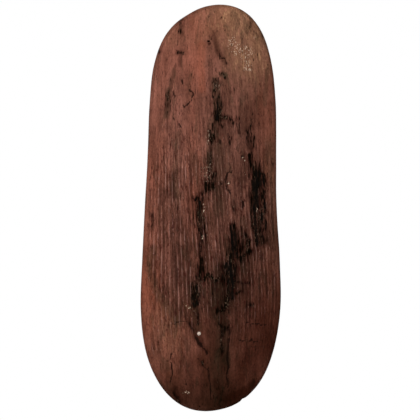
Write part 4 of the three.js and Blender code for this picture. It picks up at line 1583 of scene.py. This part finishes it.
@dataclass
class ShieldBoard:
    """The fluted board, with its hollowed and adzed back."""

    face: CarvedFace
    grip: GripForm
    columns_to_flute: int = 6
    nose_rings: int = 6
    back_columns: int = 64
    land_width: float = 15 * MM
    dish_depth: float = 5 * MM
    dish_slope: float = 26 * MM
    adze_depth: float = 1.3 * MM
    gouge_depth: float = 1.1 * MM
    hollow_width: float = 106 * MM
    board_depth: float = 60 * MM
    face_wall: float = 10 * MM
    lip: float = 3 * MM
    chip_depth: float = 0.8 * MM
    pit_radius: float = 2.2 * MM
    pit_depth: float = 9 * MM
    pit_shares: tuple[float, float] = (-0.03, 0.81)

    def build(self) -> bpy.types.Object:
        """Builds the board and cuts its hollow, housing and holes."""
        board = self._block()
        cut_away(board, [self._hollow(), self._housing(), *self._holes()])
        crease(board, 48.0)
        return board

    def _block(self) -> bpy.types.Object:
        """Builds the board before anything is cut into it."""
        outline = self.face.outline
        rows = outline.rows
        ring_count = 2 * rows
        edge_line = self.face.back_plane - self.face.nose
        points: list[np.ndarray] = []
        faces: list[tuple[int, ...]] = []
        paints: list[dict[str, np.ndarray]] = []
        start = 0

        def add(batch: np.ndarray, paint: dict[str, np.ndarray]) -> int:
            """Adds points with their paint and returns the first one's index."""
            nonlocal start
            first = start
            points.append(batch)
            paints.append(paint)
            start += len(batch)
            return first

        edge = add(*self._ring(0.0, edge_line, 0.0))
        front_ring = edge
        back_ring = edge
        for step in range(1, self.nose_rings + 1):
            turn = step / self.nose_rings * math.pi / 2
            inset = self.face.nose * (1 - math.cos(turn))
            rise = self.face.nose * math.sin(turn)
            front = add(*self._ring(inset, edge_line - rise, math.sin(turn)))
            back = add(*self._ring(inset, edge_line + rise, 0.0))
            faces += ring_faces(front_ring, front, ring_count)
            faces += ring_faces(back_ring, back, ring_count, flip=True)
            front_ring, back_ring = front, back

        inner_rows = np.arange(1, rows)
        for ring, columns, place, flip in (
            (front_ring, self.face.flutes * self.columns_to_flute, self.face.place, False),
            (back_ring, self.back_columns, self._back, True),
        ):
            shares = np.arange(1, columns) / columns
            row_grid, share_grid = np.meshgrid(inner_rows.astype(float), shares, indexing="ij")
            first = add(*place(row_grid.ravel(), share_grid.ravel()))
            faces += self._fill(ring, first, columns, flip)
        paint = {key: np.concatenate([part[key] for part in paints]) for key in paints[0]}
        return make_piece("carved_board", np.vstack(points), faces, paint)

    def _ring(
        self, inset: float, level: float, swelling: float
    ) -> tuple[np.ndarray, dict[str, np.ndarray]]:
        """Returns the points of one ring round the edge, with their paint."""
        x, z = self.face.outline.ring(inset)
        swell = self.face.swell_at(x, z) if swelling else 0.0
        y = level - swell + 0.0 * x
        paint = self.face.wear_at(x, z, np.zeros_like(x))
        none = np.zeros_like(x)
        for wear in (Wear.FLUTED, Wear.VALLEY, Wear.RIDGE, Wear.CREST):
            paint[wear.value] = none
        # Painted shade with some grime round the edge, darkest on the nose and the back
        paint[Wear.RIM_SHADE_AND_GRIME.value] = none + (0.7 - 0.45 * swelling)
        paint[Wear.BACK.value] = none + (0.0 if swelling else 0.5)
        paint[LAY] = np.column_stack([x, y, z])
        return paint[LAY], paint

    def _back(self, row: np.ndarray, across: np.ndarray) -> tuple[np.ndarray, dict[str, np.ndarray]]:
        """Returns points on the dished back, with their paint."""
        outline = self.face.outline
        x, z = self.face.spot(row, across, leaning=False)
        left, right = outline.edges_at(z)
        sideways = np.minimum(x - left, right - x)
        inwards = np.minimum(sideways, outline.half_height - np.abs(z))
        inwards = inwards - self.face.nose - self.land_width
        sunk = smooth(inwards / self.dish_slope)
        scoop, ridge = Unevenness(seed=61).scoops(x / (13 * MM), z / (44 * MM))
        ripple = Unevenness(seed=67).at(x / (20 * MM), z / (50 * MM), 3)
        y = self.face.back_plane - self.dish_depth * sunk
        y -= self.adze_depth * (0.25 + 0.75 * sunk) * scoop * (0.7 + 0.3 * ripple)
        paint = {wear.value: np.zeros_like(x) for wear in Wear}
        strayed_x = x + 1.5 * MM * ripple
        strayed_z = z + 3.0 * MM * Unevenness(seed=69).at(x / (4 * MM), z / (16 * MM), 3)
        for mark in BACK_MARKS:
            here = mark.cover(strayed_x, strayed_z, outline)
            paint[mark.wear.value] = np.maximum(paint[mark.wear.value], here)
        edge = smooth(1 - (inwards + self.land_width) / (4 * MM))
        paint[Wear.BACK.value] = np.ones_like(x)
        # Scoops painted darker and their ridges lighter: ochre and rubbing, and painted shade and
        # highlight that bring out the adze facets
        adzed = 0.3 + 0.7 * sunk
        paint[Wear.VALLEY.value] = scoop * adzed
        paint[Wear.RIDGE.value] = np.maximum(ridge * adzed * smooth(0.6 + ripple), 0.7 * edge)
        paint[LAY] = np.column_stack([x, y, z])
        return paint[LAY], paint

    def _fill(self, ring: int, first: int, columns: int, flip: bool) -> list[tuple[int, ...]]:
        """Joins a grid of rows to the ring round it, with the foot and top closed by fans."""
        rows = self.face.outline.rows
        ring_count = 2 * rows
        inside = columns - 1
        lines = []
        for i in range(1, rows):
            row_start = first + (i - 1) * inside
            lines.append([ring + ring_count - i, *range(row_start, row_start + inside), ring + i])
        faces: list[tuple[int, ...]] = []
        for low, high in zip(lines[:-1], lines[1:]):
            for j in range(columns):
                faces.append((low[j], low[j + 1], high[j + 1], high[j]))
        for j in range(columns):
            faces.append((ring, lines[0][j + 1], lines[0][j]))
            faces.append((ring + rows, lines[-1][j], lines[-1][j + 1]))
        return [face[::-1] for face in faces] if flip else faces

    def _hollow(self) -> bpy.types.Object:
        """Makes the cutter of the hand hollow: half an egg with a flared lip and chisel marks."""
        depth = self.board_depth - self.dish_depth - self.face_wall
        turns = once_round(96)
        marks = Unevenness(seed=71)
        rings = []
        for proud in (self.dish_depth + 4 * MM, 1.2 * MM):
            flare = self.lip * (0.6 + proud / self.lip)
            rings.append((1.0, flare, self.grip.foot_back + proud))
        for slope in np.linspace(0.06, 0.98, 26):
            ease = self.lip * math.exp(-slope * 16)
            turn = slope * math.pi / 2
            rings.append((math.cos(turn), ease, self.grip.foot_back - depth * math.sin(turn)))
        loops = []
        for share, grow, y in rings:
            across, along = np.cos(turns) * 3.0 + 8.0, np.sin(turns) * 5.0 + y / (9 * MM) + 30.0
            chip = self.chip_depth * marks.at(across, along, 2)
            half_x = self.hollow_width / 2 * share + grow + chip * share
            half_z = self.grip.hollow_height / 2 * share + grow + chip * share
            x, z = half_x * np.cos(turns), half_z * np.sin(turns)
            gouged = Unevenness(seed=73).scoops(x / (11 * MM) + 50, z / (24 * MM) + 50)[0]
            level = y + chip * (1 - share) - self.gouge_depth * gouged * (y < self.grip.foot_back)
            loops.append(np.column_stack([x, level, z]))
        cutter = loft("hollow", loops)
        self._paint_as_back(cutter)
        return cutter

    def _housing(self) -> bpy.types.Object:
        """Makes the cutter that the grip's feet and their gum sit in."""
        front = self.grip.foot_back - self.grip.foot_depth - FIT
        cutter = self.grip.prism("housing", JOINT, front, self.face.back_plane + OVERRUN)
        self._paint_as_back(cutter)
        return cutter

    def _holes(self) -> list[bpy.types.Object]:
        """Makes the cutters of the peg holes, the plug's hole and the borer's pit."""
        cutters = [peg_hole(node, FIT) for node in PEGS]
        plug = Site.of("pale_plug")
        radius = PLUG_RADIUS + FIT
        cutters.append(rod("plug_hole", plug.centre, radius, plug.front - OVERRUN, plug.back + FIT))
        outline = self.face.outline
        pit = (self.pit_shares[0] * outline.half_width, self.pit_shares[1] * outline.half_height)
        level = self.face.back_plane - self.face.rim_thickness
        level -= float(self.face.swell_at(np.array([pit[0]]), np.array([pit[1]]))[0])
        cutters.append(rod("pit", pit, self.pit_radius, level - OVERRUN, level + self.pit_depth, 20))
        for cutter in cutters:
            self._paint_as_back(cutter)
        return cutters

    def _paint_as_back(self, cutter: bpy.types.Object) -> None:
        """Paints a cutter so that the wood it bares is finished as the back is."""
        count = len(cutter.data.vertices)
        places = np.empty(count * 3, dtype=np.float32)
        cutter.data.vertices.foreach_get("co", places)
        for wear in Wear:
            layer = cutter.data.attributes.new(wear.value, "FLOAT", "POINT")
            full = 1.0 if wear is Wear.BACK else 0.0
            layer.data.foreach_set("value", np.full(count, full, dtype=np.float32))
        layer = cutter.data.attributes.new(LAY, "FLOAT_VECTOR", "POINT")
        layer.data.foreach_set("vector", places)


@dataclass
class GumCrust:
    """A crust of gum laid in the flutes, thin and ragged at its edges."""

    face: CarvedFace
    node: str
    proud: float = 0.45 * MM
    sunk: float = 1.0 * MM
    depth: float = 2.2 * MM
    margin: float = 6 * MM
    threshold: float = 0.6
    row_step: float = 0.5
    columns_to_flute: int = 10
    widening: float = 1.25  # since the flutes lean

    def build(self) -> bpy.types.Object:
        """Builds the crust over the place of its solid."""
        site = Site.of(self.node)
        centre_x, centre_z = site.centre
        half_x, half_z = (half + self.margin for half in site.half)
        rows = [self.face.row_at(centre_z + side * half_z) for side in (-1, 1)]
        middle = self.face.row_at(centre_z)
        ends = [centre_x + side * half_x * self.widening for side in (-1, 1)]
        shares = [self.face.across_at(middle, end) for end in ends]
        column_step = 1 / (self.face.flutes * self.columns_to_flute)
        row_grid, share_grid = np.meshgrid(
            np.arange(*rows, self.row_step), np.arange(*shares, column_step), indexing="ij"
        )
        points, paint = self.face.place(row_grid.ravel(), share_grid.ravel())
        x, z = points[:, 0], points[:, 2]
        off = ((x - centre_x) / half_x) ** 2 + ((z - centre_z) / half_z) ** 2
        lumps = Unevenness(seed=83).at(x / (1.7 * MM), z / (8 * MM), 3)
        phase = share_grid.ravel() * self.face.flutes
        crest = np.exp(-(((phase - np.round(phase)) / 0.16) ** 2))
        body = paint[Wear.GUM.value] * smooth((1.15 - off) / 0.4) + 0.5 * lumps - 0.42 * crest
        thick = np.clip((body - self.threshold) * 2.2, -1.0, 1.0)
        top = points.copy()
        top[:, 1] -= np.where(thick > 0, thick * self.proud, thick * self.sunk)
        bottom = points.copy()
        bottom[:, 1] += self.depth
        return self._shell(top, bottom, *row_grid.shape)

    def _shell(self, top: np.ndarray, bottom: np.ndarray, rows: int, columns: int) -> bpy.types.Object:
        """Closes a top grid and a bottom grid into one shell."""
        count = rows * columns
        index = np.arange(count).reshape(rows, columns)
        corners = (index[:-1, :-1], index[:-1, 1:], index[1:, 1:], index[1:, :-1])
        quads = np.stack([corner.ravel() for corner in corners], axis=1)
        faces = quads.tolist() + (quads[:, ::-1] + count).tolist()
        border = [*index[0, :], *index[1:, -1], *index[-1, -2::-1], *index[-2:0:-1, 0]]
        for here, there in zip(border, border[1:] + border[:1]):
            faces.append([there, here, here + count, there + count])
        return make_piece(self.node.replace("fill", "crust"), np.vstack([top, bottom]), faces)


@dataclass
class HandGrip:
    """The grip, round at the waist and squared at its feet."""

    form: GripForm
    sides: int = 48
    whittling: float = 0.016

    def build(self) -> bpy.types.Object:
        """Builds the grip with its peg holes."""
        form = self.form
        whittle = Unevenness(seed=91)
        rings = []
        turns = once_round(self.sides)
        c, s = np.cos(turns), np.sin(turns)
        foot_front = form.foot_back - form.foot_depth
        for z, half in form.stations(0.0, 14, 36, 10):
            to_foot = float(smooth(np.array(abs(z) / form.flare_start)))
            back = form.back + (form.foot_back - form.back) * to_foot
            front = -form.thickness / 2 + (foot_front + form.thickness / 2) * to_foot
            power = 1 + (form.foot_squareness - 1) * to_foot
            facets = whittle.at(c * 2.2 + 5.0, s * 2.2 + z / (26 * MM) + 20.0, 2)
            worn = 1 - self.whittling * (1 + facets) * (1 - 0.6 * to_foot)
            x = half * np.sign(c) * np.abs(c) ** power * worn
            y = (back + front) / 2 + (back - front) / 2 * np.sign(s) * np.abs(s) ** power * worn
            rings.append(np.column_stack([x, y, np.full(self.sides, z)]))
        grip = loft("carved_grip", rings[::-1])
        cut_away(grip, [peg_hole(node, FIT * 0.6) for node in PEGS])
        crease(grip, 42.0)
        return grip


@dataclass
class DrivenPeg:
    """A whittled peg, driven home and trimmed a little proud."""

    node: str
    sides: int = 32
    whittling: float = 0.05
    head_dent: float = 0.25 * MM

    def build(self) -> bpy.types.Object:
        """Builds the peg over the place of its solid."""
        site = Site.of(self.node)
        turns = once_round(self.sides)
        seed = 100 + int(self.node[-1])
        facets = Unevenness(seed).at(np.cos(turns) * 1.5 + 9.0, np.sin(turns) * 1.5 + 9.0, 2)
        # How far back each ring stands, its share of the radius, and how far it is end grain
        profile = [
            (0.0, 0.82, 0.0),
            (0.08, 0.97, 0.0),
            (0.5, 1.0, 0.0),
            (0.955, 1.0, 0.5),
            (0.982, 0.96, 0.5),
            (0.995, 0.84, 0.5),
            (1.0, 0.6, 1.0),
        ]
        rings = []
        for along, share, _ in profile:
            reach = site.half[0] * share * (1 - self.whittling * (1 + facets))
            y = site.front + (site.back - site.front) * along
            dent = np.abs(self.head_dent * (along > 0.9) * facets)
            rings.append(hoop(site.centre, reach, turns, y - dent))
        heads = {END_GRAIN: [end for _, _, end in profile[::-1]]}
        return loft(self.node.replace("grip_", "driven_"), rings[::-1], heads)


@dataclass
class GumBead:
    """The gum that beds one foot of the grip, squeezed up round it and smeared over."""

    form: GripForm
    node: str
    side: int
    spread: float = 3.4 * MM
    proud: float = 1.3 * MM
    stem_drop: float = 1.2 * MM
    edge_drop: float = 0.5 * MM
    steps: int = 150

    def build(self) -> bpy.types.Object:
        """Builds the bead round its foot."""
        path, outward = self._path()
        lumps = Unevenness(seed=120 + self.side)
        count = len(path)
        along = np.arange(count) / count
        flat = np.zeros(count)
        swelling = 0.5 + 0.5 * lumps.at(along * 26.0, flat + 3.0, 3)
        inner = self.spread * (0.55 + 0.75 * (0.5 + 0.5 * lumps.at(along * 19.0, flat + 9.0, 3)))
        outer = self.spread * (0.55 + 0.9 * (0.5 + 0.5 * lumps.at(along * 17.0, flat + 15.0, 3)))
        half_stem = (JOINT - 2 * FIT) / 2
        floor = self.form.foot_back
        bottom = floor - self.form.foot_depth
        section = [
            (flat - half_stem, flat + bottom),
            (flat - half_stem, flat + (floor - self.stem_drop)),
            (-inner, flat + (floor - self.edge_drop)),
        ]
        for share in np.linspace(0.12, 0.88, 9):
            reach = inner if share < 0.5 else outer
            lift = math.sin(share * math.pi) ** 0.8 * (0.35 + 0.65 * swelling)
            section.append((-reach * math.cos(share * math.pi), floor + self.proud * lift))
        section += [
            (outer, flat + (floor - self.edge_drop)),
            (flat + half_stem, flat + (floor - self.stem_drop)),
            (flat + half_stem, flat + bottom),
        ]
        reaches, levels = (np.array(rows) for rows in zip(*section))
        rings = []
        for k in range(count):
            x = path[k, 0] + outward[k, 0] * reaches[:, k]
            z = path[k, 1] + outward[k, 1] * reaches[:, k]
            rings.append(np.column_stack([x, levels[:, k], z]))
        return loft(self.node.replace("grip_gum", "gum_bead"), rings if self.side > 0 else rings[::-1])

    def _path(self) -> tuple[np.ndarray, np.ndarray]:
        """Returns the middle of the joint round the foot, and the direction out of it."""
        stations = self.form.stations(JOINT / 2, 6, 60, 24)
        upper = stations[stations[:, 0] > self.form.hollow_height / 2 + 1.5 * MM]
        loop_x = np.concatenate([upper[:, 1], -upper[::-1, 1]])
        loop_z = np.concatenate([upper[:, 0], upper[::-1, 0]]) * self.side
        run = np.concatenate([[0.0], np.cumsum(np.hypot(np.diff(loop_x), np.diff(loop_z)))])
        even = np.linspace(0.0, run[-1], self.steps)
        path = np.column_stack([np.interp(even, run, loop_x), np.interp(even, run, loop_z)])
        heading = np.gradient(path, axis=0)
        heading /= np.linalg.norm(heading, axis=1)[:, None]
        outward = np.column_stack([heading[:, 1], -heading[:, 0]]) * self.side
        return path, outward


@dataclass
class PalePlug:
    """A chipped plug of pale wood, a little proud of the face."""

    node: str = "pale_plug"
    sides: int = 28
    chipping: float = 0.09

    def build(self) -> bpy.types.Object:
        """Builds the plug over the place of its solid."""
        site = Site.of(self.node)
        turns = once_round(self.sides)
        chips = Unevenness(seed=131).at(np.cos(turns) * 2.5 + 7.0, np.sin(turns) * 2.5 + 7.0, 2)
        # How deep each ring stands, and its share of the radius
        profile = [(0.0, 0.35), (0.012, 0.7), (0.05, 0.93), (0.12, 1.0), (0.9, 1.0), (1.0, 0.85)]
        rings = []
        for down, share in profile:
            reach = site.half[0] * share * (1 - self.chipping * (1 + chips) * (down < 0.2))
            rings.append(hoop(site.centre, reach, turns, site.front + (site.back - site.front) * down))
        return loft("chipped_plug", rings[::-1])


# Studio


@dataclass
class Studio:
    """The camera, floor, lamps and white surroundings."""

    frame_height: float = 743 * MM
    distance: float = 3.0
    sensor: float = 36.0
    aim: tuple[float, float] = (-1.13 * MM, -3.79 * MM)
    plane: float = 5 * MM
    floor_gap: float = 0.26
    floor_radii: tuple[float, ...] = (0.02, 0.6, 1.2, 1.85)
    floor_sides: int = 96
    surroundings: float = 0.3

    def build(self) -> None:
        """Sets everything up."""
        self._camera()
        self._floor()
        self._lamp("key", (-1.25, -1.4, 1.6), 1.1, 61.0)
        self._lamp("fill", (1.9, -2.2, 0.6), 2.0, 15.0)
        self._lamp("behind", (0.7, 2.2, 1.3), 1.6, 44.0)
        self._world()
        bpy.context.scene.view_settings.view_transform = "Standard"

    def _camera(self) -> None:
        """Stands the camera level with the middle of the shield."""
        data = bpy.data.cameras.new("camera")
        data.sensor_width = self.sensor
        data.lens = self.sensor * (self.distance + self.plane) / self.frame_height
        camera = bpy.data.objects.new("camera", data)
        camera.location = (self.aim[0], -self.distance, self.aim[1])
        camera.rotation_euler = (math.pi / 2, 0.0, 0.0)
        bpy.context.scene.collection.objects.link(camera)
        bpy.context.scene.camera = camera

    def _floor(self) -> None:
        """Lays a round pale floor well under the foot."""
        sides = self.floor_sides
        turns = once_round(sides)
        level = np.full(sides, solid_box[0][2] - self.floor_gap)
        rings = [
            np.column_stack([radius * np.cos(turns), radius * np.sin(turns), level])
            for radius in self.floor_radii
        ]
        faces: list[tuple[int, ...]] = []
        for k in range(len(rings) - 1):
            faces += ring_faces(k * sides, (k + 1) * sides, sides, flip=True)
        faces.append(tuple(range(sides)))
        floor = make_piece("studio_floor", np.vstack(rings), faces)
        floor.data.materials.append(StudioFloor().material())

    def _lamp(self, name: str, place: tuple[float, float, float], size: float, power: float) -> None:
        """Hangs a soft square lamp that faces the shield."""
        data = bpy.data.lights.new(name, "AREA")
        data.size = size
        data.energy = power
        lamp = bpy.data.objects.new(name, data)
        lamp.location = place
        lamp.rotation_euler = (-Vector(place)).to_track_quat("-Z", "Y").to_euler()
        bpy.context.scene.collection.objects.link(lamp)

    def _world(self) -> None:
        """Makes the surroundings plain white to the eye, and dimmer as light."""
        recipe = Recipe(bpy.data.worlds.new("studio"))
        bpy.context.scene.world = recipe.block
        rays = recipe.node("ShaderNodeLightPath").outputs
        seen = Value(recipe, rays["Is Camera Ray"]).at_least(Value(recipe, rays["Is Glossy Ray"]))
        seen = seen.at_least(Value(recipe, rays["Is Transmission Ray"]))
        lit, shown = (
            recipe.node("ShaderNodeBackground", {}, {"Color": WHITE, "Strength": strength})
            for strength in (self.surroundings, 1.0)
        )
        sockets = {0: seen, 1: lit.outputs[0], 2: shown.outputs[0]}
        mixed = recipe.node("ShaderNodeMixShader", {}, sockets)
        recipe.node("ShaderNodeOutputWorld", {}, {"Surface": mixed.outputs[0]})


def main() -> None:
    """Builds the shield and its studio."""
    logging.basicConfig(level=logging.INFO, format="%(name)s: %(message)s")
    Studio().build()
    finishes = Finishes()
    finishes.prepare()
    face = CarvedFace()
    form = GripForm()
    finishes.dress(ShieldBoard(face, form).build(), Slot.OCHRED_WOOD, "shield_board")
    for name in ("right", "crown", "centre", "low", "left"):
        node = f"gum_fill_{name}"
        finishes.dress(GumCrust(face, node).build(), Slot.GUM, node)
    finishes.dress(HandGrip(form).build(), Slot.GRIP_WOOD, "hand_grip")
    for node in PEGS:
        finishes.dress(DrivenPeg(node).build(), Slot.GRIP_WOOD, node)
    for name, side in (("upper", 1), ("lower", -1)):
        node = f"grip_gum_{name}"
        finishes.dress(GumBead(form, node, side).build(), Slot.GUM, node)
    finishes.dress(PalePlug().build(), Slot.PALE_WOOD, "pale_plug")


if __name__ == "__main__":
    main()
